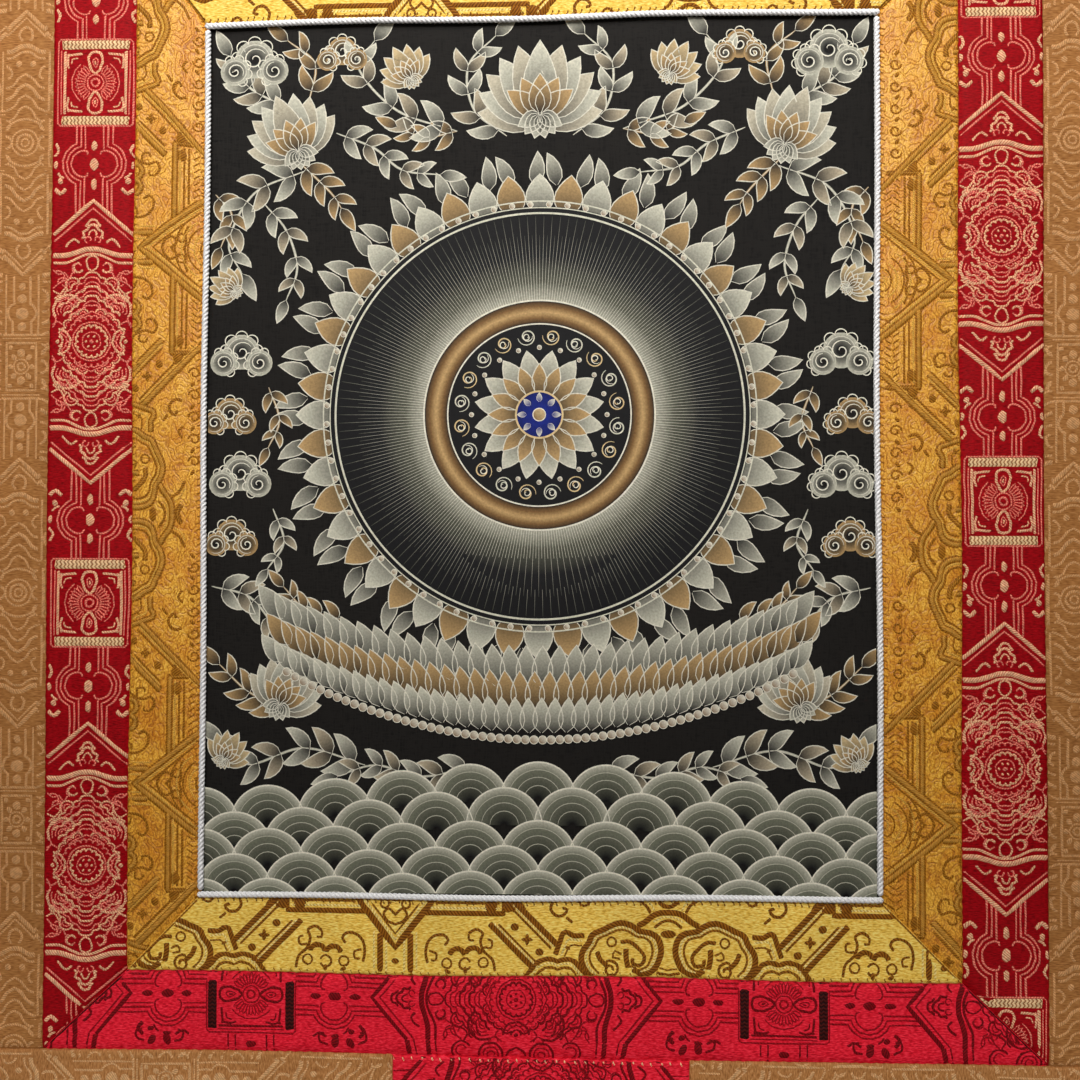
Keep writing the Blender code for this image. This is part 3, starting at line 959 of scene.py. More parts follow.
def border_cuts(cloth, side):
    """The four lines that a border piece's pattern ends at: a point on each, and the way out of it."""
    width, _ = border_size(cloth, side)
    start_in, start_out, end_in, end_out = strip_ends(cloth, side)
    near = 1.3 if cloth == "gold" else CUT_MARGIN
    return (
        ((0.0, near), (0.0, -1.0)),
        ((0.0, width - CUT_MARGIN), (0.0, 1.0)),
        ((start_in + CUT_MARGIN, 0.0), (-width, start_out - start_in)),
        ((end_in - CUT_MARGIN, 0.0), (width, end_in - end_out)),
    )


def run_along(line):
    """How far along a line each of its places is."""
    return np.concatenate([[0.0], np.cumsum(np.linalg.norm(np.diff(line, axis=0), axis=1))])


FLAT_TOPPED = 1.2
STROKE_SINKS = -0.1
BLUNT = 0.7


def woven_figure(name, strokes, cuts, lay, finishes, lift):
    """A woven figure as raised floats of thread: each stroke is its points, its widths and its finish."""
    points = []
    faces = []
    parts = []
    maps = []
    start = 0
    for line, widths, part in strokes:
        line = np.array(line, float)
        closed = is_closed(line)
        if not closed and np.ndim(widths) == 0:
            head = min(0.4, 0.3 / float(np.linalg.norm(line[1] - line[0])))
            tail = min(0.4, 0.3 / float(np.linalg.norm(line[-1] - line[-2])))
            first = line[0] + (line[1] - line[0]) * head
            last = line[-1] + (line[-2] - line[-1]) * tail
            line = np.vstack([line[:1], first[None], line[1:-1], last[None], line[-1:]])
        widths = np.broadcast_to(np.array(widths, float), (len(line),)).copy()
        if not closed:
            widths[0] *= BLUNT
            widths[-1] *= BLUNT
        wide = widths.max() > FLAT_TOPPED
        across = np.array([-1.0, -0.6, 0.6, 1.0] if wide else [-1.0, 0.0, 1.0])
        rise = np.ones(len(across))
        rise[0] = rise[-1] = STROKE_SINKS
        height = lift * (0.26 if wide else 0.2) * (0.62 if part == 2 and wide else 1.0)
        ends = np.ones(len(line))
        if not closed:
            ends[0] = ends[-1] = STROKE_SINKS
        over = widths[:, None] / 2 * across[None, :]
        spread = line[:, None, :] + beside_line(line)[:, None, :] * over[:, :, None]
        up = height * np.minimum(rise[None, :], ends[:, None])
        points.append(np.concatenate([spread, up[:, :, None]], axis=2).reshape(-1, 3))
        count = len(across)
        number = start + np.arange(len(line) * count).reshape(len(line), count)
        faces.append(strip_faces(number))
        parts.append(np.full(len(faces[-1]), part))
        run = np.repeat(run_along(line)[:, None], count, axis=1)
        maps.append(np.stack([run, over], axis=2).reshape(-1, 2))
        start += len(line) * count
    faces = np.vstack(faces)
    piece = add_mesh(name, np.vstack(points), faces, finishes, np.concatenate(parts))
    add_map(piece, "thread_run", np.vstack(maps)[faces.ravel()])
    mesh = bmesh.new()
    mesh.from_mesh(piece.data)
    for (along, out), way in cuts:
        cut_away(mesh, (along, out, 0.0), (*way, 0.0))
    flat = np.array([vertex.co for vertex in mesh.verts])
    x, z, depth = lay(flat[:, 0], flat[:, 1])
    y = hang(x * MM, z * MM) + (depth - flat[:, 2]) * MM
    for vertex, place in zip(mesh.verts, np.column_stack([x * MM, y, drawn(x * MM, z * MM)])):
        vertex.co = place
    mesh.normal_update()
    bmesh.ops.reverse_faces(mesh, faces=[face for face in mesh.faces if face.normal.y > 0])
    mesh.to_mesh(piece.data)
    mesh.free()
    bake_map(piece)
    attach(piece, "root")
    return piece


def line_of(points, width, part=0):
    """A stroke along straight lines, with a place every few millimetres."""
    given = np.array(points, float)
    places = []
    for start, end in zip(given[:-1], given[1:]):
        count = max(1, round(float(np.linalg.norm(end - start)) / 4.0))
        places.extend(start + (end - start) * share for share in np.linspace(0, 1, count, endpoint=False))
    places.append(given[-1])
    return np.array(places), width, part


def dot_of(centre, long, wide, part=0, lean=0.0):
    """A small filled spot, long in its lean's direction."""
    angle = math.radians(lean)
    way = np.array([math.cos(angle), math.sin(angle)])
    share = np.array([-0.5, -0.32, 0.0, 0.32, 0.5])
    return np.array(centre) + share[:, None] * long * way, np.array([0.3, 0.8, 1.0, 0.8, 0.3]) * wide, part


def mirrored(strokes, along=False):
    """The strokes and their mirror images, across the pattern's axis or along it. A stroke that ends on
    the mirror line is joined to its image, and one that is its own image stays single."""
    axis = 0 if along else 1
    both = []
    for line, widths, part in strokes:
        image = np.array(line, float)
        image[:, axis] *= -1.0
        own = {tuple(np.round(point, 1) + 0.0) for point in line}
        if own == {tuple(np.round(point, 1) + 0.0) for point in image}:
            both.append((line, widths, part))
            continue
        at_start = abs(line[0][axis]) < 0.05
        at_end = abs(line[-1][axis]) < 0.05
        if np.ndim(widths) or not (at_start or at_end):
            both.append((line, widths, part))
            both.append((image, widths, part))
        elif at_end:
            both.append((np.vstack([line, image[-2::-1]]), widths, part))
        else:
            both.append((np.vstack([image[:0:-1], line]), widths, part))
    return both


def whole_repeat(half, least):
    """Half a repeat with its mirror image, less the strokes that the next repeat brings."""
    return [stroke for stroke in mirrored(half, along=True) if stroke[0][:, 0].mean() > least]


def shifted(strokes, along, out=0.0):
    """The strokes moved along and out."""
    return [(np.array(line) + (along, out), widths, part) for line, widths, part in strokes]


def tiled(repeat, length, first, out, numbers=range(-4, 5)):
    """A repeat laid end to end: the place of its middle along, its place out, and which repeats there are."""
    strokes = []
    for number in numbers:
        strokes += shifted(repeat, first + length * number, out)
    return strokes


def within(strokes, low, high, near=-math.inf, far=math.inf):
    """The strokes that reach into a rectangle, along from low to high and out from near to far."""
    inside = []
    for stroke in strokes:
        least = stroke[0].min(axis=0)
        most = stroke[0].max(axis=0)
        if most[0] > low and least[0] < high and most[1] > near and least[1] < far:
            inside.append(stroke)
    return inside


# The gold chart, half of one repeat: along from the middle of the V, and out from the cord. Part 0 is
# the dark bar, 1 the bright rim beside it and 2 the fine line.
GOLD_REPEAT = 194.0
GOLD_MIDDLE = GOLD_REPEAT / 2
bars = [
    line_of([(0, 17.6), (22.2, -9.6)], 2.4, 0),
    line_of([(0, 14.8), (20.0, -9.6)], 1.0, 1),
    line_of([(0, 12.9), (18.4, -9.6)], 0.8, 2),
    line_of([(5.4, 12.8), (5.4, 29.0)], 2.2, 0),
    line_of([(3.2, 15.0), (3.2, 29.0)], 0.8, 1),
    line_of([(7.6, 12.0), (7.6, 29.0)], 0.7, 1),
    line_of([(10.5, 5.4), (38.6, 5.4)], 1.9, 0),
    line_of([(12.4, 3.6), (37.2, 3.6)], 0.8, 1),
    line_of([(14.2, 2.0), (37.2, 2.0)], 0.8, 2),
    line_of([(16.4, 0.3), (37.2, 0.3)], 0.9, 0),
    line_of([(38.6, 6.2), (38.6, -9.0)], 1.5, 0),
    line_of([(32.0, -9.0), (57.8, 16.4)], 2.2, 0),
    line_of([(36.0, -3.4), (56.6, 17.0)], 0.9, 1),
    line_of([(39.6, 1.6), (55.6, 17.6)], 0.9, 0),
    line_of([(33.6, 8.8), (49.6, 24.8)], 2.2, 0),
    line_of([(35.2, 8.8), (50.6, 24.2)], 0.9, 1),
    line_of([(36.8, 9.0), (51.4, 23.6)], 0.9, 0),
]
spots = [
    dot_of((42.6, 10.0), 3.0, 2.8, 0),
    dot_of((47.0, 14.4), 4.2, 1.6, 0, 0.0),
    dot_of((47.0, 14.4), 4.2, 1.6, 0, 90.0),
    dot_of((51.4, 18.8), 3.0, 2.8, 0),
    dot_of((0.0, 22.3), 2.8, 2.0, 0),
    dot_of((18.7, 25.6), 2.4, 1.4, 0, 20.0),
    dot_of((25.0, 25.2), 2.4, 1.6, 0, 90.0),
    dot_of((34.2, 3.1), 4.6, 4.2, 0),
    dot_of((40.2, 3.0), 4.6, 4.2, 0),
    dot_of((61.4, 17.4), 2.2, 1.2, 0, 30.0),
]
VINE = ((11.6, 23.0), (10.9, 19.4), (11.6, 15.6), (14.2, 13.2), (17.4, 13.0), (18.9, 14.8), (17.6, 16.6))
HOOK = ((35.6, 25.6), (34.6, 21.4), (31.6, 18.6), (30.4, 15.0), (31.2, 12.2), (28.6, 10.9), (26.2, 12.4))
SIDE_CLOUD = ((57.0, 19.8), (58.6, 15.4), (59.8, 12.2), (61.6, 12.0), (63.4, 13.1), (67.4, 13.0))
curls = [
    (curved([(0, 9.6), (2.6, 8.6), (4.2, 6.2), (2.6, 4.2), (0.9, 5.4), (0, 6.4)], 1.0), 1.0, 0),
    (arc((3.8, 2.6), 1.5, 0, 360, 0.9), 0.9, 0),
    (curved([(0, 1.6), (2.4, 0.9), (5.6, 1.2), (8.6, 0.2)], 1.0), 1.0, 0),
    (arc((22.1, 20.4), 2.7, 190, 350, 0.9), 1.9, 0),
    (arc((27.8, 20.0), 2.7, 190, 350, 0.9), 1.9, 0),
    (arc((18.4, 22.8), 1.7, 0, 360, 0.9), 0.8, 0),
    (arc((31.4, 22.5), 1.7, 0, 360, 0.9), 0.8, 0),
    (arc((24.9, 23.0), 2.0, 20, 340, 0.9), 0.9, 0),
    (curved(VINE, 1.1), 1.1, 0),
    (curved([(12.0, 18.6), (14.6, 19.4), (14.4, 21.8), (12.6, 21.6)], 0.9), 0.9, 0),
    (curved(HOOK, 1.1), 1.1, 0),
    (curved([(26.2, 12.4), (26.4, 14.6), (28.2, 14.6)], 0.8), 0.9, 0),
    (curved([(31.4, 17.2), (34.2, 17.2), (34.4, 14.8), (32.8, 14.4)], 0.9), 0.9, 0),
    (curved([(46.3, 4.1), (45.0, 2.0), (42.8, 2.8), (42.2, 5.0)], 0.9), 1.0, 0),
    (curved([(56.0, 1.4), (55.4, 3.9), (57.4, 6.1), (60.0, 5.8), (61.2, 4.0), (59.4, 3.4)], 0.9), 1.2, 0),
    (curved([(60.8, 6.6), (63.2, 8.6)], 1.0), 1.1, 0),
    (curved([(65.0, 1.0), (67.2, 2.8), (69.6, 1.2)], 1.0), 1.0, 0),
    (curved(SIDE_CLOUD, 1.1), 1.9, 0),
    (curved([(59.0, 20.4), (60.6, 16.4), (61.8, 14.4), (66.6, 14.9)], 1.1), 0.8, 1),
    (curved([(60.2, 20.4), (61.6, 17.6), (62.8, 16.4), (66.6, 16.6)], 1.1), 0.7, 2),
]


def from_middle(places, step=1.2):
    """A smooth line charted by its distance from the middle of the repeat and out from the cord."""
    return curved([(GOLD_MIDDLE - gap, out) for gap, out in places], step)


# Between two clouds: an arch over a bead, with small arches by the cord and by the outer edge
curls += [
    (from_middle([(-0.4, 5.1), (3.0, 5.3), (5.6, 6.3), (8.0, 8.2), (10.9, 9.8)]), 2.1, 0),
    (from_middle([(-0.4, 7.7), (2.2, 8.3), (4.9, 10.3)]), 1.1, 0),
    (from_middle([(-0.4, 6.6), (2.6, 6.9), (5.4, 8.4)]), 0.7, 1),
    dot_of((GOLD_MIDDLE, 12.4), 5.6, 2.9, 0),
    (from_middle([(-0.4, 26.3), (2.0, 26.1), (4.2, 25.5)]), 1.1, 0),
    (from_middle([(-0.4, 24.6), (1.4, 24.5), (3.2, 24.0)]), 0.7, 2),
    (from_middle([(-0.4, 3.2), (1.6, 2.9), (3.4, 1.5)]), 1.5, 0),
    (from_middle([(12.0, 0.4), (8.0, 2.6), (6.2, 5.4)]), 1.2, 0),
    (from_middle([(9.4, 0.4), (6.4, 1.9), (4.8, 4.6)]), 0.7, 1),
]
# Beside each cloud: a double arch that rises from the outer edge
wave_line = [(50.6, 27.6), (47.0, 23.0), (44.3, 21.5), (41.6, 21.2), (39.2, 22.0), (36.3, 21.3)]
wave_line += [(33.2, 22.1), (31.0, 24.7), (27.4, 27.6)]
for inward, width, part in ((0.0, 1.8, 0), (1.5, 0.8, 1), (2.9, 1.1, 2)):
    share = 1 - inward * 0.05
    places = [(39.0 + (gap - 39.0) * share, out + inward) for gap, out in wave_line]
    curls.append((from_middle(places), width, part))


# The cloud head: a lobed outline in three lines, over curls, a ring and a spiral
cloud_outline = [(12.6, 24.4), (9.4, 26.3), (5.4, 24.9), (3.3, 21.4), (2.5, 17.8), (3.6, 14.0), (6.2, 12.2)]
cloud_outline += [(10.1, 11.5), (13.0, 9.6), (16.7, 8.7), (20.0, 9.6), (23.3, 11.2), (26.8, 12.8)]
cloud_outline += [(28.1, 15.6), (30.3, 18.6), (30.7, 22.0), (29.2, 25.4), (26.4, 28.0)]
CLOUD_HEART = (16.8, 19.4)


def drawn_in(places, share):
    """A line drawn in towards the heart of the cloud."""
    return np.array(CLOUD_HEART) + (np.array(places) - CLOUD_HEART) * share


cloud_curl = [(16.9, 15.2), (13.4, 15.2), (10.4, 17.6), (8.4, 20.2), (9.4, 23.0), (12.4, 22.8), (12.6, 20.8)]
clouds = [
    (from_middle(cloud_outline), 2.2, 0),
    (from_middle(drawn_in(cloud_outline, 0.88)), 0.9, 1),
    (from_middle(drawn_in(cloud_outline, 0.79)), 0.9, 2),
    (from_middle(cloud_curl), 1.4, 0),
    (from_middle([(14.9, 17.4), (14.9, 20.6), (14.2, 24.2)]), 2.0, 0),
    (from_middle([(16.4, 19.6), (18.8, 18.4), (19.6, 20.6), (16.9, 21.0)]), 0.9, 2),
    (from_middle([(25.2, 18.6), (24.0, 21.4), (21.6, 23.6)]), 1.8, 0),
    (spiral((GOLD_MIDDLE - 20.4, 24.8), 3.2, 240, 1.4, 0.9, 0.2), 1.1, 0),
    (arc((GOLD_MIDDLE - 20.0, 15.2), 1.6, 0, 360, 0.9), 0.8, 0),
]
gold_repeat = whole_repeat(bars + spots + curls + clouds, 0.1 - GOLD_MIDDLE)

# What shows on the upright strips alone, where the repeat lies further out: fine twill by the cord
gold_field = []
for number in range(10):
    foot = 14.0 + 2.4 * number
    gold_field.append(line_of([(foot, -1.4), (foot + 1.7, -3.8)], 0.6, 2))
    gold_field.append(line_of([(foot, -6.6), (foot + 1.7, -4.2)], 0.6, 2))
for number in range(6):
    gold_field.append((arc((0, -9.0), 2.4 + 2.3 * number, 30, 90, 1.6), 0.7, 2 if number % 2 else 1))
for number in range(5):
    foot = 46.0 + 8.0 * number
    gold_field.append((spiral((foot, -3.0), 2.3, 90, 1.1, 0.9, 0.3), 0.8, 2))
    gold_field.append(dot_of((foot + 4.0, -2.4), 2.2, 1.4, 2, 40.0))
gold_field = whole_repeat(gold_field, 0.1 - GOLD_MIDDLE)


def sewn_in(cloth, node):
    """Fixes a piece of the mount to the root and hides the imported part that it stands for."""
    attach(cloth, "root")
    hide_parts(node)


def ribbed(strokes):
    """The bars as they show in the upright strips: a pale rib on a slightly wider dark line."""
    for line, widths, part in strokes:
        if np.ndim(widths) == 0 and part == 0 and widths > 1.3:
            yield line, widths + 0.6, 2
            yield line, widths - 0.5, 0
        else:
            yield line, widths, 2 if part == 0 else part


def edge_stitches(low, high, near, far, pitch, width, part, lean):
    """Small slanting hand stitches along a seam, a little uneven in place and length."""
    strokes = []
    for number in range(int((high - low) / pitch)):
        foot = low + pitch * number + 0.3 * math.sin(2.3 * number + 0.7 * math.sin(1.1 * number))
        reach = far + 0.25 * math.sin(1.7 * number)
        strokes.append(line_of([(foot, near), (foot + lean, reach)], width, part))
    return strokes


MITRE_INSET = 0.75


def mitre_shadow_line(cloth, side):
    """A painted shadow: a dark line along the folded ends of a level strip at the mitred corners, where the
    fold's shade falls.
    """
    width, _ = border_size(cloth, side)
    start_in, start_out, end_in, end_out = strip_ends(cloth, side)
    left = [(start_in + MITRE_INSET, 0.0), (start_out + MITRE_INSET, width)]
    right = [(end_in - MITRE_INSET, 0.0), (end_out - MITRE_INSET, width)]
    return [line_of(left, 0.7, 2), line_of(right, 0.7, 2)]


GOLD_PLACES = {
    # strip: where a V's middle falls along it, and how far out the repeat lies
    "left": (257.3, 6.5),
    "right": (270.4, 9.5),
    "top": (-43.0, 0.0),
    "bottom": (-50.8, 0.0),
}
STROKE_SPARE = 4.0


def gold_strokes(side):
    """The gold pattern on one strip, with the hand stitches along its seams."""
    middle, out = GOLD_PLACES[side]
    _, low, _, high = strip_ends("gold", side)
    width, _ = border_size("gold", side)
    repeat = [*ribbed(gold_repeat), *gold_field] if side in UPRIGHT else gold_repeat
    strokes = tiled(repeat, GOLD_REPEAT, middle, out)
    strokes += edge_stitches(low, high, 1.1, 2.7, 2.7, 0.75, 2, 0.8)
    strokes += edge_stitches(low, high, width - 1.5, width - 0.2, 3.1, 0.6, 2, 0.6)
    # A dark line of painted shadow along each mitred fold
    if side in LEVEL:
        strokes += mitre_shadow_line("gold", side)
    return within(strokes, low - STROKE_SPARE, high + STROKE_SPARE)


def brocade_ground(
    name,
    tones,
    grain,
    roughness,
    relief=0.00022,
    wear_and_sheen_tint=(0.9, 0.9, 0.9),
    patch=42.0,
    specular=0.08,
    scroll=None,
):
    """The ground of a brocade: fine weft threads that catch the light one by one, and slow patches of uneven
    tone and painted sheen. A scroll colour adds the small vines that run all over it."""
    finish, tree, shader = new_finish(name, roughness, specular=specular)
    fine = threads(tree, grain, 2.5)
    slow = threads(tree, (patch, patch, patch), 2.0)
    dark, middle, light = tones
    woven = ramp(tree, fine, ((0.30, dark), (0.48, middle), (0.68, light)))
    # Slow patches multiplied into the colour: partly uneven tone, partly painted sheen and shade
    shade = ramp(tree, slow, ((0.36, (*wear_and_sheen_tint, 1.0)), (0.62, grey(1.0))))
    colour = blended(tree, woven, shade, 1.0, "MULTIPLY")
    height = fine
    if scroll:
        white = grey(1.0)
        stops = ((0.36, white), (0.41, scroll), (0.46, white), (0.53, white), (0.58, scroll), (0.63, white))
        vines = ramp(tree, threads(tree, (300.0, 300.0, 240.0), 0.6), stops)
        colour = blended(tree, colour, vines, 1.0, "MULTIPLY")
        height = blended(tree, vines, woven, 0.3)
    tree.links.new(colour, shader.inputs["Base Color"])
    raise_weave(tree, shader, height, relief, 0.7)
    return finish


# How long one wave of Blender's wave texture is, where its scale is 1
WAVE_LENGTH = 0.314


def float_thread(name, gap, thread, roughness, pitch=0.95, share=0.5, relief=0.0002, braid=0.0):
    """The raised floats of a figure: short slanting threads, with the tie-down gaps between them. In a
    braided bar the slant turns back every braid's width."""
    finish, tree, shader = new_finish(name, roughness)
    named = tree.nodes.new("ShaderNodeUVMap")
    named.uv_map = "thread_run"
    run = named.outputs["UV"]
    if braid:
        apart = tree.nodes.new("ShaderNodeSeparateXYZ")
        fold = tree.nodes.new("ShaderNodeMath")
        fold.operation = "PINGPONG"
        fold.inputs[1].default_value = braid
        joined = tree.nodes.new("ShaderNodeCombineXYZ")
        tree.links.new(run, apart.inputs[0])
        tree.links.new(apart.outputs[1], fold.inputs[0])
        tree.links.new(apart.outputs[0], joined.inputs[0])
        tree.links.new(fold.outputs[0], joined.inputs[1])
        run = joined.outputs[0]
    mapping = tree.nodes.new("ShaderNodeMapping")
    mapping.inputs["Rotation"].default_value = (0.0, 0.0, math.radians(38.0))
    wave = tree.nodes.new("ShaderNodeTexWave")
    wave.inputs["Scale"].default_value = WAVE_LENGTH / pitch
    wave.inputs["Distortion"].default_value = 1.6
    wave.inputs["Detail"].default_value = 1.0
    tree.links.new(run, mapping.inputs["Vector"])
    tree.links.new(mapping.outputs["Vector"], wave.inputs["Vector"])
    grain = threads(tree, (900.0, 900.0, 900.0), 2.0)
    lit = ramp(tree, grain, ((0.25, grey(0.6)), (0.65, grey(1.0))))
    colour = ramp(tree, wave.outputs["Fac"], ((share - 0.28, gap), (share + 0.12, thread)))
    tree.links.new(blended(tree, colour, lit, 1.0, "MULTIPLY"), shader.inputs["Base Color"])
    raise_weave(tree, shader, wave.outputs["Fac"], relief, 0.7)
    return finish


# The level strips are the same brocade as the upright ones, painted brighter and with a more contrasting
# figure: painted sheen and shade for how their threads, turned the other way, catch the light from above.
gold_tones = (tint(204, 152, 50), tint(246, 200, 82), tint(255, 236, 140))
gold_level_painted_sheen = brocade_ground("gold_satin_level_painted_sheen", gold_tones, (620.0, 400.0, 2300.0), 0.5)
# The upright strips' slow amber patches are painted sheen and shade, where the threads catch the light
# unevenly.
gold_tones = (tint(184, 118, 24), tint(228, 164, 44), tint(252, 202, 88))
gold_upright = brocade_ground(
    "gold_satin_upright",
    gold_tones,
    (2000.0, 500.0, 1600.0),
    0.45,
    relief=0.0005,
    wear_and_sheen_tint=(0.84, 0.66, 0.42),
    patch=90.0,
    specular=0.4,
    scroll=(0.66, 0.54, 0.36, 1.0),
)
gold_tones = (tint(96, 60, 16), tint(168, 122, 54), tint(206, 168, 96))
gold_reverse = brocade_ground("gold_reverse", gold_tones, (300.0, 300.0, 2200.0), 0.6)
gold_level_figure_sheen_and_shade = [
    float_thread("gold_dark_bar", tint(112, 60, 6), tint(160, 100, 22), 0.6),
    float_thread("gold_bright_rim", tint(226, 180, 76), tint(255, 234, 156), 0.5),
    float_thread("gold_fine_line", tint(120, 68, 8), tint(168, 110, 28), 0.6),
]
gold_upright_figure = [
    float_thread("gold_upright_bar", tint(170, 108, 28), tint(220, 162, 68), 0.55, 0.55, 0.4, 0.0001),
    float_thread("gold_upright_rim", tint(190, 128, 36), tint(238, 186, 86), 0.5, 0.6, 0.4, 0.0001),
    float_thread("gold_upright_line", tint(128, 74, 10), tint(178, 118, 30), 0.6, 0.8, 0.45, 0.0001),
]
for side in UPRIGHT + LEVEL:
    upright = side in UPRIGHT
    strip = border_cloth("gold", side, [gold_upright if upright else gold_level_painted_sheen, gold_reverse])
    figure = woven_figure(
        f"gold_figure_{side}",
        gold_strokes(side),
        border_cuts("gold", side),
        on_border("gold", side),
        gold_upright_figure if upright else gold_level_figure_sheen_and_shade,
        1.15 if upright else 0.8,
    )
    wide, length = border_size("gold", side)
    sewn_in(strip, f"gold_border_{side}")

# The red border: four strips of red brocade with the figure in gold and rose thread. The repeat has a
# barred square, a keyhole, a chevron, a wavy band and a lotus medallion. The strips run under the gold
# border, over the side panels, and under the brown panels above and below.
RED_REPEAT = 189.4
block = [
    line_of([(15.9, 0), (15.9, 12.8), (15.0, 13.8), (0, 13.8)], 0.6, 1),
    line_of([(13.9, 0), (13.9, 12.4)], 3.3, 2),
    line_of([(0, 12.5), (11.9, 12.5)], 0.5, 1),
    line_of([(0, 11.2), (11.6, 11.2)], 1.0, 0),
    (curved([(3.2, 0), (4.6, 1.4), (7.2, 2.4), (9.4, 2.5), (10.9, 1.6), (11.3, 0)], 0.9), 1.0, 0),
    (curved([(5.4, 0), (6.8, 0.9), (8.4, 0.7), (9.0, 0)], 0.8), 0.5, 1),
    dot_of((7.2, 0), 1.6, 0.8, 0),
    (arc((0, 0), 3.0, 0, 90), 0.6, 1),
    (arc((0, 0), 1.4, 0, 90), 0.8, 1),
    (curved([(10.6, 4.6), (10.4, 7.4), (9.8, 10.0), (7.4, 10.3), (5.2, 9.8)], 1.0), 0.9, 0),
    (curved([(9.0, 6.4), (8.6, 8.6), (6.8, 9.0)], 0.9), 0.6, 0),
    dot_of((10.1, 10.0), 1.4, 1.2, 0),
]
for angle in (90.0, 79.0, 68.0, 57.0, 46.0, 35.0):
    root = np.array(polar((0, 0), 3.7, angle))
    tip = np.array(polar((0, 0), 7.6, angle))
    aside = np.array(polar((0, 0), 0.62, angle + 90.0))
    middle = (root + tip) / 2
    block.append((curved([root, middle + aside, tip, middle - aside, root], 1.4), 0.45, 1))
block.append((arc((0, 0), 8.7, 38, 90), 0.5, 1))
KEYHOLE_LINES = (
    # before the arc, the arc's radius, start and end, after the arc
    ((15.9, 6.7), (19.2, 6.7), 7.9, 157.7, 22.3, (42.8, 6.7), (48.6, 6.7)),
    ((15.9, 5.0), (19.7, 5.0), 6.4, 168.3, 11.7, (41.6, 5.0), (47.2, 5.0)),
    ((26.6, 2.2), (25.4, 2.6), 4.8, 182.0, -2.0, (34.2, 2.6), (33.0, 2.2)),
)
keyhole = []
for first, second, radius, start, end, third, fourth in KEYHOLE_LINES:
    line = np.vstack([first, second, arc((29.8, 3.7), radius, start, end), third, fourth])
    keyhole.append((line, 0.7, 1))
keyhole += [
    line_of([(15.9, 3.4), (24.6, 3.4)], 0.65, 1),
    line_of([(35.0, 3.4), (45.8, 3.4)], 0.65, 1),
    dot_of((23.2, 0), 3.8, 2.2, 0),
    dot_of((30.0, 0), 4.6, 3.2, 0),
    dot_of((37.3, 0), 4.2, 2.2, 0),
    (curved([(22.2, 14.4), (24.7, 13.2), (27.2, 14.6)], 1.0), 1.0, 0),
    dot_of((30.2, 14.2), 3.0, 1.6, 0),
    (curved([(33.0, 13.4), (34.2, 12.6), (35.0, 11.0)], 1.0), 0.8, 0),
    dot_of((36.0, 12.5), 2.4, 2.0, 0),
    (curved([(38.8, 14.6), (40.6, 12.4), (38.8, 10.2)], 0.9), 1.4, 0),
]
chevron = [
    line_of([(43.3, 0), (55.8, 14.8)], 1.5, 0),
    line_of([(46.1, 0), (58.2, 14.4)], 0.7, 1),
    (curved([(50.2, 0), (50.6, 1.3), (51.8, 1.9), (52.8, 2.9)], 0.8), 0.9, 0),
    (curved([(52.0, 0), (52.6, 1.4), (54.0, 2.2), (54.8, 3.6), (56.6, 3.2), (57.0, 4.2)], 0.8), 1.0, 0),
    (curved([(54.0, 0), (54.6, 1.0), (56.2, 1.5)], 0.8), 0.7, 0),
    (curved([(60.4, 10.2), (58.2, 8.4), (57.4, 6.8), (58.8, 5.0)], 0.9), 0.9, 0),
    (arc((57.6, 1.8), 1.1, 0, 300, 0.9), 0.6, 1),
    (curved([(63.3, 14.8), (63.3, 10.2), (62.4, 6.4), (61.2, 2.6), (61.0, 0)], 1.2), 1.9, 0),
    (curved([(66.0, 14.8), (66.0, 9.6), (64.6, 6.2), (63.1, 2.6), (62.8, 0)], 1.2), 1.0, 0),
    (curved([(63.4, 0), (64.2, 1.7), (66.2, 2.2), (68.2, 1.3), (69.0, 0)], 0.9), 0.7, 0),
    (arc((67.8, 5.2), 1.7, 200, -70, 0.9), 0.8, 0),
    (curved([(68.6, 14.6), (70.2, 12.6), (69.6, 10.2), (71.4, 9.2)], 0.9), 0.6, 1),
    (curved([(69.6, 7.2), (71.8, 8.8), (73.4, 12.4), (75.4, 14.4)], 1.0), 0.6, 1),
]
LOTUS_MIDDLE = 94.7


def lobed(points, size, swell):
    """A line that swells out in small lobes, each about a size long."""
    line = curved(points, 0.62)
    run = run_along(line)
    lobes = max(1, round(run[-1] / size))
    off = swell * np.abs(np.sin(math.pi * lobes * run / run[-1]))
    return line + beside_line(line) * off[:, None]


lotus = [
    dot_of((0, 0), 1.6, 1.6, 1),
    (arc((0, 0), 3.4, 90, 180, 0.9), 0.5, 1),
    (arc((0, 0), 7.0, 90, 180, 1.2), 0.6, 1),
    dot_of(polar((0, 0), 2.1, 90.0), 1.1, 1.0, 0),
    dot_of(polar((0, 0), 2.1, 150.0), 1.1, 1.0, 0),
]
LOTUS_KNOBS = (
    # reach, first heading, turn, count, arcs: radius, half its sweep, step, width, part
    (4.9, 101.25, 22.5, 4, ((1.1, 100, 0.8, 0.8, 0),)),
    (8.2, 97.5, 15.0, 6, ((1.3, 95, 0.9, 0.6, 1),)),
    (10.4, 108.0, 18.0, 4, ((1.9, 85, 0.9, 0.7, 0), (1.0, 85, 0.9, 0.5, 1))),
)
for reach, first, turn, count, arcs in LOTUS_KNOBS:
    for angle in (first + turn * number for number in range(count)):
        for radius, sweep, step, width, part in arcs:
            knob = arc(polar((0, 0), reach, angle), radius, angle - sweep, angle + sweep, step)
            lotus.append((knob, width, part))
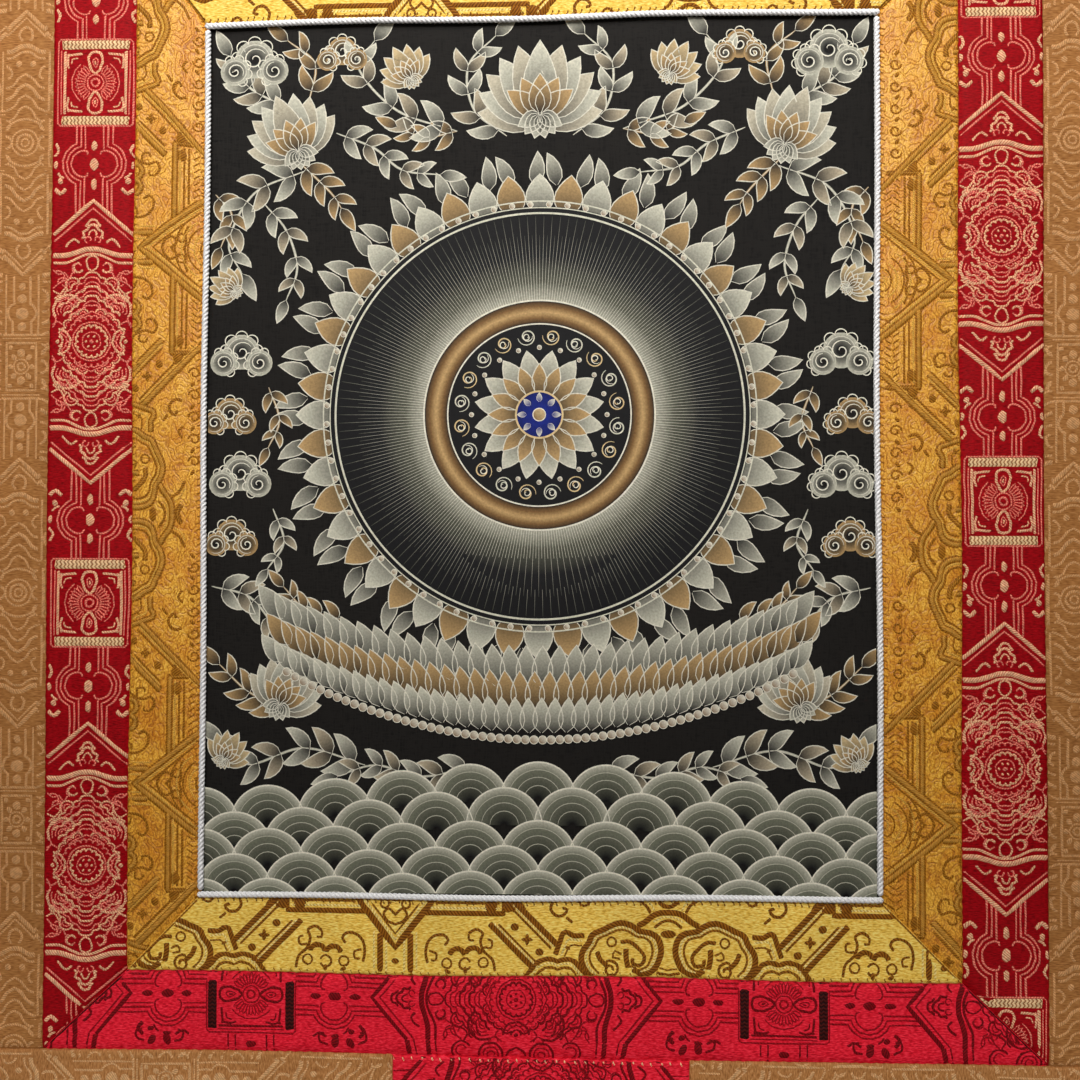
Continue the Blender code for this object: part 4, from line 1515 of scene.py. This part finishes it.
LOTUS_PEAKS = (
    # peak, foot, spread, width, part
    (11.0, 8.4, 6.6, 0.6, 1),
    (13.0, 9.6, 8.6, 0.6, 1),
    (14.8, 10.0, 6.4, 0.6, 1),
    (16.6, 10.4, 10.6, 0.9, 0),
    (18.3, 12.6, 9.4, 0.6, 1),
    (20.0, 13.6, 12.4, 0.8, 0),
    (21.7, 15.0, 8.4, 0.6, 1),
    (23.4, 15.6, 12.2, 0.6, 1),
    (25.2, 16.6, 13.8, 0.7, 0),
)
for peak, foot, spread, width, part in LOTUS_PEAKS:
    shoulder = (-peak + (peak - foot) * 0.42, spread * 0.36)
    rise = [(-peak, 0.0), shoulder, (-foot - 0.4, spread * 0.72), (-foot + 1.2, spread)]
    lotus.append((lobed(rise, 3.6, 0.8) if peak > 12.0 else curved(rise, 1.3), width, part))
LOTUS_ARCS = (
    # middle, start, end, then each arc's radius, width and part
    ((-11.6, 8.8), 60, 240, ((5.4, 1.0, 0), (4.0, 0.5, 1), (2.7, 0.5, 1), (1.5, 0.6, 1))),
    ((0.0, 12.4), 180, 270, ((4.6, 0.9, 0), (3.2, 0.5, 1), (1.8, 0.8, 0))),
)
for middle, start, end, arcs in LOTUS_ARCS:
    for radius, width, part in arcs:
        lotus.append((arc(middle, radius, start, end, 1.0), width, part))
lotus += [
    dot_of((0.0, 12.4), 1.6, 1.4, 0),
    dot_of((-15.4, 12.0), 2.6, 1.3, 0, 40.0),
    (curved([(-18.6, 14.6), (-17.4, 11.8), (-20.4, 9.4)], 1.0), 0.7, 0),
    (spiral((-21.4, 10.6), 2.3, 90, 0.9, 0.9, 0.4), 0.6, 1),
    (curved([(-5.0, 14.6), (-7.4, 12.8), (-6.2, 10.8)], 1.0), 0.6, 1),
    (arc((-20.6, 7.2), 2.6, 40, 260, 1.0), 0.7, 0),
    (arc((-20.6, 7.2), 1.4, 40, 260, 0.9), 0.5, 1),
    (arc((-23.6, 12.6), 2.2, 150, 330, 1.0), 0.6, 1),
    (arc((-8.0, 14.8), 1.7, 180, 360, 0.9), 0.6, 1),
    (arc((-26.6, 5.6), 1.9, 20, 240, 0.9), 0.6, 1),
]
red_half = mirrored(block + keyhole + chevron + shifted(lotus, LOTUS_MIDDLE))
red_repeat = whole_repeat(red_half, 0.1 - LOTUS_MIDDLE)

# What shows past the upright strips' width, on the lower strip alone
red_beyond = [
    line_of([(8.2, 14.2), (8.2, 22.0)], 0.8, 0),
    line_of([(5.6, 14.2), (5.6, 22.0)], 0.8, 0),
    dot_of((0.0, 17.8), 3.6, 2.6, 0),
    dot_of((30.2, 16.2), 4.4, 2.9, 0, 100.0),
    dot_of((35.6, 16.6), 4.2, 2.7, 0, 60.0),
    (curved([(27.6, 17.2), (25.0, 16.4), (24.4, 13.8), (26.4, 12.9)], 0.9), 0.9, 0),
    (curved([(38.4, 17.0), (41.2, 15.6), (41.0, 13.0), (39.0, 12.8)], 0.9), 0.9, 0),
    line_of([(55.8, 14.8), (57.4, 22.0)], 2.0, 0),
    line_of([(58.2, 14.4), (59.8, 22.0)], 0.8, 0),
    line_of([(63.3, 14.8), (63.9, 22.0)], 1.9, 0),
    line_of([(66.0, 14.8), (66.6, 22.0)], 0.9, 0),
    (arc((85.7, 19.4), 4.2, 150, 390, 1.0), 0.9, 0),
    (arc((85.7, 19.4), 2.7, 150, 390, 1.0), 0.6, 1),
    (arc((85.7, 19.4), 1.3, 0, 360, 0.9), 0.6, 1),
    (arc((75.3, 18.2), 3.4, 100, 330, 1.0), 0.8, 0),
    (arc((75.3, 18.2), 2.0, 100, 330, 1.0), 0.6, 1),
    (curved([(94.7, 16.8), (92.1, 18.0), (90.9, 21.0)], 1.0), 0.8, 0),
]
red_beyond = whole_repeat(red_beyond, 0.1 - LOTUS_MIDDLE)

RED_PLACES = {
    # strip: where a square's middle falls along it, and how far the axis lies from the strip's own
    "left": (197.0, -0.5),
    "right": (349.5, 0.0),
    "top": (-88.0, 3.0),
    "bottom": (-102.4, -6.2),
}


def red_strokes(side):
    """The red pattern on one strip, with a dark line of painted shadow at its mitred corners."""
    middle, off = RED_PLACES[side]
    width, _ = border_size("red", side)
    axis = width / 2 + off
    _, low, _, high = strip_ends("red", side)
    repeat = red_repeat + red_beyond if side == "bottom" else red_repeat
    strokes = tiled(repeat, RED_REPEAT, middle, axis)
    # A dark line of painted shadow along each mitred fold
    if side in LEVEL:
        strokes += mitre_shadow_line("red", side)
    return within(strokes, low - STROKE_SPARE, high + STROKE_SPARE)


# The level strips and the door are the same brocade as the upright strips, painted in other colours for how
# their threads, turned the other way, catch the light: a brighter ground of painted sheen, and a figure of
# painted shade in dark threads where the upright strips' is gold and rose.
red_tones = (tint(116, 0, 6), tint(150, 2, 12), tint(174, 6, 20))
red_upright = brocade_ground("red_satin_upright", red_tones, (600.0, 400.0, 2300.0), 0.6)
red_tones = (tint(178, 10, 26), tint(226, 24, 46), tint(248, 56, 78))
red_level_painted_sheen = brocade_ground("red_satin_level_painted_sheen", red_tones, (620.0, 400.0, 2300.0), 0.6)
red_tones = (tint(96, 10, 18), tint(150, 40, 40), tint(196, 130, 90))
red_reverse = brocade_ground("red_reverse", red_tones, (300.0, 300.0, 2400.0), 0.6)
red_upright_figure = [
    float_thread("red_gold_thread", tint(220, 112, 86), tint(255, 206, 160), 0.55, 0.75, 0.36),
    float_thread("red_rose_thread", tint(214, 70, 66), tint(252, 150, 128), 0.6, 0.75, 0.34),
    float_thread("red_braided_bar", tint(160, 104, 60), tint(252, 214, 164), 0.55, 1.1, 0.4, 0.0002, 0.85),
]
red_level_figure_painted_shade = [
    float_thread("red_level_thread_painted_shade", tint(104, 2, 10), tint(138, 4, 16), 0.6, 0.9, 0.5),
    float_thread("red_level_line_painted_shade", tint(128, 2, 14), tint(166, 8, 26), 0.6, 0.9, 0.5),
    float_thread("red_level_bar_painted_shade", tint(38, 2, 2), tint(76, 14, 10), 0.6, 1.1, 0.5, 0.0002, 0.85),
]
for side in UPRIGHT + LEVEL:
    upright = side in UPRIGHT
    strip = border_cloth("red", side, [red_upright if upright else red_level_painted_sheen, red_reverse])
    figure = woven_figure(
        f"red_figure_{side}",
        red_strokes(side),
        border_cuts("red", side),
        on_border("red", side),
        red_upright_figure if upright else red_level_figure_painted_shade,
        1.1 if upright else 0.7,
    )
    wide, length = border_size("red", side)
    sewn_in(strip, f"red_border_{side}")

# The brown mount: four pieces of tan brocade with a small tone-on-tone figure in columns. The side
# panels go under the red border, and the panels above and below are folded over all that they meet.
# The outer edges are turned back and hemmed.
BROWN_SPACING = 14.4
BROWN_REPEAT = 164.0
keyhole_top = arc((19.6, 1.6), 3.6, 150, 20, 1.2)
keyhole_side = np.vstack([(11.6, 3.4), (14.6, 3.4), keyhole_top, (24.4, 3.0), (33.0, 3.0)])
brown_quarter = [
    line_of([(11.6, 0), (11.6, 7.2)], 0.7, 0),
    line_of([(10.3, 0), (10.3, 7.2)], 0.4, 0),
    line_of([(8.6, 0), (8.6, 5.4), (0, 5.4)], 0.8, 0),
    (arc((0, 0), 1.3, 0, 90, 0.9), 0.7, 0),
    (arc((0, 0), 2.7, 0, 90, 0.9), 0.5, 0),
    dot_of((5.0, 0), 3.2, 2.4, 0),
    dot_of((0, 3.9), 2.0, 1.6, 0),
    dot_of((3.4, 2.7), 2.6, 1.5, 0, 40.0),
    dot_of((7.0, 4.0), 1.8, 1.4, 0, 40.0),
    line_of([(11.6, 5.9), (33.6, 5.9)], 0.6, 0),
    (keyhole_side, 0.8, 0),
    dot_of((14.6, 0), 3.4, 2.6, 0),
    dot_of((19.4, 0), 4.4, 3.8, 0),
    dot_of((24.8, 0), 3.4, 2.8, 0),
    dot_of((29.2, 0), 3.0, 2.0, 0),
    line_of([(33.6, 0), (40.6, 7.2)], 1.2, 0),
    line_of([(36.0, 0), (43.0, 7.2)], 0.6, 0),
    (curved([(39.4, 0), (40.4, 1.8), (43.0, 2.4), (44.6, 1.2)], 1.0), 0.8, 0),
    (curved([(48.6, 7.2), (48.4, 4.9), (46.6, 2.0), (46.4, 0)], 1.4), 1.3, 0),
    (curved([(51.0, 7.2), (50.8, 4.7), (48.8, 1.8), (48.6, 0)], 1.4), 0.7, 0),
    dot_of((53.0, 2.6), 2.4, 1.8, 0),
    (curved([(53.8, 7.2), (55.0, 5.6), (57.4, 5.0), (58.6, 6.6)], 1.2), 0.7, 0),
    (curved([(56.8, 0), (58.4, 2.6), (61.2, 4.8), (62.0, 7.2)], 1.3), 0.7, 0),
    (curved([(60.6, 0), (62.2, 2.6), (65.0, 4.6), (66.4, 7.2)], 1.3), 1.0, 0),
    (curved([(64.6, 0), (66.0, 2.4), (68.8, 4.2), (70.4, 7.2)], 1.3), 0.7, 0),
    (curved([(68.6, 0), (70.0, 2.4), (72.8, 3.8), (74.4, 6.4)], 1.3), 0.7, 0),
    (arc((82.0, 0), 1.4, 90, 180, 1.0), 0.6, 0),
    (arc((82.0, 0), 3.0, 90, 180, 1.0), 0.8, 0),
    (arc((82.0, 0), 4.8, 90, 180, 1.1), 0.6, 0),
    (arc((82.0, 0), 8.6, 128, 180, 1.2), 0.7, 0),
    (arc((82.0, 7.2), 2.3, 180, 270, 1.0), 0.8, 0),
    (arc((75.6, 7.2), 1.8, 180, 360, 1.0), 0.6, 0),
]
brown_repeat = mirrored([(line, widths * 1.3, part) for line, widths, part in brown_quarter])
brown_repeat = whole_repeat(brown_repeat, 0.1 - BROWN_REPEAT / 2)


def brown_strokes(low, high, near, far, start):
    """The brown pattern over a rectangle, along from low to high and out from near to far."""
    strokes = []
    for column in range(math.floor(near / BROWN_SPACING) - 1, math.ceil(far / BROWN_SPACING) + 2):
        first = start + (BROWN_REPEAT / 2 if column % 2 else 0.0)
        lowest = math.floor((low - first) / BROWN_REPEAT) - 1
        numbers = range(lowest, math.ceil((high - first) / BROWN_REPEAT) + 2)
        strokes += tiled(brown_repeat, BROWN_REPEAT, first, BROWN_SPACING * (column + 0.7), numbers)
    return within(strokes, low, high, near, far)


def rectangle_cuts(low, high, near, far):
    """The four lines round a rectangle that a pattern ends at."""
    return (
        ((low + CUT_MARGIN, 0.0), (-1.0, 0.0)),
        ((high - CUT_MARGIN, 0.0), (1.0, 0.0)),
        ((0.0, near + CUT_MARGIN), (0.0, -1.0)),
        ((0.0, far - CUT_MARGIN), (0.0, 1.0)),
    )


# The panels above and below are the same brocade as the side panels, painted a little brighter, ground and
# figure: painted sheen, for how their threads, turned the other way, catch the light.
brown_tones = (tint(134, 84, 40), tint(162, 108, 57), tint(186, 131, 77))
brown_side = brocade_ground("tan_brocade_side", brown_tones, (420.0, 300.0, 2300.0), 0.6)
brown_tones = (tint(140, 90, 46), tint(172, 116, 65), tint(198, 143, 90))
brown_level_painted_sheen = brocade_ground("tan_brocade_level_painted_sheen", brown_tones, (2300.0, 300.0, 600.0), 0.6)
brown_tones = (tint(120, 84, 50), tint(162, 120, 78), tint(196, 158, 112))
brown_reverse = brocade_ground("tan_reverse", brown_tones, (300.0, 300.0, 2400.0), 0.65)
brown_figure = [float_thread("tan_figure", tint(188, 134, 82), tint(220, 166, 112), 0.6, 0.7, 0.42, 0.0001)]
brown_level_figure_painted_sheen = [
    float_thread("tan_level_figure_painted_sheen", tint(190, 140, 90), tint(224, 176, 124), 0.55, 0.7, 0.38, 0.0001)
]
BROWN_STARTS = {"left": 300.8, "right": 302.3}
HEM_GAP = 0.6
for side in UPRIGHT:
    wide, length = border_size("brown", side)
    strip = border_cloth("brown", side, [brown_side, brown_reverse], 4.0)
    figure = woven_figure(
        f"tan_figure_{side}",
        brown_strokes(-TOP_LINE, -FOOT_LINE, 0.0, wide, BROWN_STARTS[side]),
        rectangle_cuts(-TOP_LINE, -FOOT_LINE, 0.0, wide - HEM_GAP),
        on_border("brown", side),
        brown_figure,
        0.5,
    )
    sewn_in(strip, f"side_panel_{side}")

DOOR_LEFT = -51.7
DOOR_RIGHT = 53.8
DOOR_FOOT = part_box("door_patch")[0][2] / MM
MOUNT_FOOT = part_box("lower_panel")[0][2] / MM


def red_seam(side, x):
    """The height of the red border's upper or lower seam at x, level beyond its corners."""
    left, right = SEAMS["red"][:2]
    return seam("red", side, np.clip((x - left) / (right - left), 0.0, 1.0))[1]


def panel_face(x, z, top, foot, top_fixing, foot_fixing):
    """How far behind the hang a level panel's face lies, and how thick the cloth is there."""
    gaps = (
        (top - z, top_fixing),
        (z - foot, foot_fixing),
        (x - MOUNT_LEFT, "free"),
        (MOUNT_RIGHT - x, "free"),
    )
    return sewn_face(np.zeros(np.shape(x)), gaps, x)


def laid_on(place, face):
    """Turns flat places on a piece into places in space, from where it lies and how far back its face is."""

    def lay(along, out):
        x, z = place(along, out)
        depth, _ = face(along, out, x, z)
        return x, z, depth

    return lay


def top_panel_place(column, row):
    """The top panel's places: its foot follows the red border's upper seam."""
    return column, red_seam("top", column) * row / -TOP_LINE


def top_panel_face(column, row, x, z):
    """The top panel is hemmed above and folded over the borders below."""
    return panel_face(x, z, 0.0, red_seam("top", x), "free", "over")


top_cloth = laid_cloth(
    "tan_cloth_top",
    steps(MOUNT_LEFT, MOUNT_RIGHT, 1.8, HEM_STEPS),
    steps(0.0, -TOP_LINE, 4.5),
    top_panel_place,
    top_panel_face,
    [brown_level_painted_sheen, brown_reverse],
)
top_figure = woven_figure(
    "tan_figure_top",
    brown_strokes(MOUNT_LEFT, MOUNT_RIGHT, 0.0, -TOP_LINE, 20.0),
    rectangle_cuts(MOUNT_LEFT + HEM_GAP, MOUNT_RIGHT - HEM_GAP, HEM_GAP, -TOP_LINE),
    laid_on(top_panel_place, top_panel_face),
    brown_level_figure_painted_sheen,
    0.5,
)
sewn_in(top_cloth, "top_panel")

NOTCH_REACH = 4.0


def lower_place(column, row):
    """The lower panel's places: its top follows the red border's lower seam, down to the notch's foot."""
    pulled = np.maximum(0.0, 1.0 - row / (FOOT_LINE - DOOR_FOOT))
    level = FOOT_LINE + (MOUNT_FOOT - FOOT_LINE) * row / LOWER_HEIGHT
    return column, level + (red_seam("bottom", column) - FOOT_LINE) * pulled


def lower_face(column, row, x, z):
    """The lower panel is folded over the red border, hemmed, and tucked under the door round the notch."""
    depth, thickness = panel_face(x, z, red_seam("bottom", x), MOUNT_FOOT, "over", "free")
    beside = np.maximum(DOOR_LEFT - x, x - DOOR_RIGHT)
    return depth + tucked_under(np.maximum(beside, DOOR_FOOT - z)), thickness


door_height = FOOT_LINE - DOOR_FOOT
lower_columns = np.concatenate(
    [
        steps(MOUNT_LEFT, DOOR_LEFT - 3.0, 1.8, HEM_STEPS, (1.5,)),
        DOOR_LEFT + np.array([-1.8, -0.9, 0.0, 1.0, NOTCH_REACH]),
        np.linspace(DOOR_LEFT + 6.0, DOOR_RIGHT - 6.0, 48),
        DOOR_RIGHT + np.array([-NOTCH_REACH, -1.0, 0.0, 0.9, 1.8]),
        steps(DOOR_RIGHT + 3.0, MOUNT_RIGHT, 1.8, (1.5,), HEM_STEPS),
    ]
)
lower_rows = np.concatenate(
    [
        steps(0.0, door_height - NOTCH_REACH, 4.5, fine_end=(2.0,)),
        door_height + np.array([-1.0, 0.0, 0.9, 1.8]),
        steps(door_height + 3.0, LOWER_HEIGHT, 4.5, (1.5,), HEM_STEPS),
    ]
)


def beside_notch(x, z):
    """Which places lie outside the notch for the door."""
    inside = (x > DOOR_LEFT + NOTCH_REACH) & (x < DOOR_RIGHT - NOTCH_REACH) & (z > DOOR_FOOT + NOTCH_REACH)
    return ~inside


lower_cloth = laid_cloth(
    "tan_cloth_lower",
    lower_columns,
    lower_rows,
    lower_place,
    lower_face,
    [brown_level_painted_sheen, brown_reverse],
    keep=beside_notch,
)
for name, low, high, near, far in (
    ("left", MOUNT_LEFT + HEM_GAP, DOOR_LEFT, 0.0, door_height + CUT_MARGIN),
    ("right", DOOR_RIGHT, MOUNT_RIGHT - HEM_GAP, 0.0, door_height + CUT_MARGIN),
    ("foot", MOUNT_LEFT + HEM_GAP, MOUNT_RIGHT - HEM_GAP, door_height - CUT_MARGIN, LOWER_HEIGHT - HEM_GAP),
):
    piece = woven_figure(
        f"tan_figure_lower_{name}",
        brown_strokes(low, high, near, far, 31.0),
        rectangle_cuts(low, high, near, far),
        laid_on(lower_place, lower_face),
        brown_level_figure_painted_sheen,
        0.5,
    )
sewn_in(
    lower_cloth,
    "lower_panel",
)

# The door: a patch of the red brocade, let into the lower panel under the middle of the red border.
# Its edges are folded under and sewn over the brown panel.


def door_place(column, row):
    """The door's places: its top follows the red border's lower seam."""
    seam_z = red_seam("bottom", column)
    return column, seam_z + (DOOR_FOOT - seam_z) * row / door_height


def door_face(column, row, x, z):
    """The door's face, which swells a little between its sewn edges."""
    gaps = (x - DOOR_LEFT, DOOR_RIGHT - x, red_seam("bottom", x) - z, z - DOOR_FOOT)
    depth = -CROWN * np.sin(math.pi * np.clip(row / door_height, 0.0, 1.0))
    return sewn_face(depth, [(gap, "over") for gap in gaps], x + z)


# The door is laid in the red level strips' colours: a ground of painted sheen and a figure of painted shade.
door_cloth = laid_cloth(
    "red_cloth_door",
    steps(DOOR_LEFT, DOOR_RIGHT, 1.8),
    steps(0.0, door_height, 1.8),
    door_place,
    door_face,
    [red_level_painted_sheen, red_reverse],
)
RED_SPACING = 29.4
DOOR_FIRST_COLUMN = 12.0
door_strokes = []
for column in range(-1, 6):
    first = 1.0 - (0.0 if column % 2 else RED_REPEAT / 2)
    out = DOOR_FIRST_COLUMN + RED_SPACING * column
    door_strokes += tiled(red_repeat, RED_REPEAT, first, out, range(-2, 3))
door_strokes = within(door_strokes, DOOR_LEFT, DOOR_RIGHT, 0.0, door_height)
door_stitches = edge_stitches(DOOR_LEFT, DOOR_RIGHT, 0.5, 1.6, 3.4, 0.6, 0, 0.7)
for name, strokes, finishes, lift in (
    ("red_figure_door", door_strokes, red_level_figure_painted_shade, 0.7),
    ("door_stitches", door_stitches, red_upright_figure[:1], 1.4),
):
    cuts = rectangle_cuts(DOOR_LEFT, DOOR_RIGHT, 0.0, door_height)
    lay = laid_on(door_place, door_face)
    woven_figure(name, strokes, cuts, lay, finishes, lift)
sewn_in(door_cloth, "door_patch")

# Where it is shown: a plain pale floor, a broad soft light above and in front, which fades down the
# hanging as the room's own light does, and a camera close in front of the picture.
bpy.ops.mesh.primitive_plane_add(size=14.0, location=(0.0, 0.0, -0.83))
floor = bpy.context.active_object
floor.name = "pale_floor"
floor.select_set(False)
floor_finish, floor_tree, floor_shader = new_finish("pale_floor_paint", 0.7)
floor_grain = threads(floor_tree, (5.0, 5.0, 5.0), 3.0)
floor_tone = ramp(floor_tree, floor_grain, ((0.3, tint(214, 212, 208)), (0.7, tint(224, 222, 218))))
floor_tree.links.new(floor_tone, floor_shader.inputs["Base Color"])
floor.data.materials.append(floor_finish)


def soft_light(name, place, aim, size, power, tone=(1.0, 1.0, 1.0), spread=180.0):
    """A square soft light at a place, aimed at another."""
    data = bpy.data.lights.new(name, "AREA")
    data.shape = "SQUARE"
    data.size = size
    data.energy = power
    data.color = tone
    data.spread = math.radians(spread)
    lamp = bpy.data.objects.new(name, data)
    bpy.context.scene.collection.objects.link(lamp)
    way = np.array(aim) - np.array(place)
    pitch = math.atan2(math.hypot(way[0], way[1]), -way[2])
    lamp.rotation_euler = (pitch, 0.0, math.atan2(-way[0], way[1]))
    lamp.location = place
    return lamp


WARM = (1.0, 0.97, 0.93)
soft_light("light_above", (-0.08, -0.42, 0.26), (0.0, 0.0, -0.2), 0.25, 1.7, WARM)
soft_light("light_front", (-0.05, -1.2, 0.5), (-0.02, 0.0, 0.02), 0.6, 2.7, WARM, 56.0)
low_light = soft_light("light_low", (0.0, -0.8, -0.5), (0.0, 0.0, -0.575), 0.06, 0.064, WARM, 14.0)
low_light.data.shape = "RECTANGLE"
low_light.data.size = 0.7
low_light.data.size_y = 0.06
soft_light("light_behind", (-0.6, 1.7, 0.5), (0.0, 0.0, -0.35), 1.2, 22.0)

world = bpy.data.worlds.new("pale_room")
bpy.context.scene.world = world
world.use_nodes = True
world.node_tree.nodes["Background"].inputs["Color"].default_value = (0.9, 0.88, 0.86, 1.0)
world.node_tree.nodes["Background"].inputs["Strength"].default_value = 0.1
bpy.context.scene.view_settings.view_transform = "Standard"

lens = bpy.data.cameras.new("photo_camera")
lens.lens = 50.0
lens.sensor_width = 36.0
lens.clip_start = 0.01
camera = bpy.data.objects.new("photo_camera", lens)
camera.location = (0.0174, -0.5365, -0.3785)
camera.rotation_euler = (math.radians(91.606), math.radians(-0.139), math.radians(1.809))
bpy.context.scene.collection.objects.link(camera)
bpy.context.scene.camera = camera
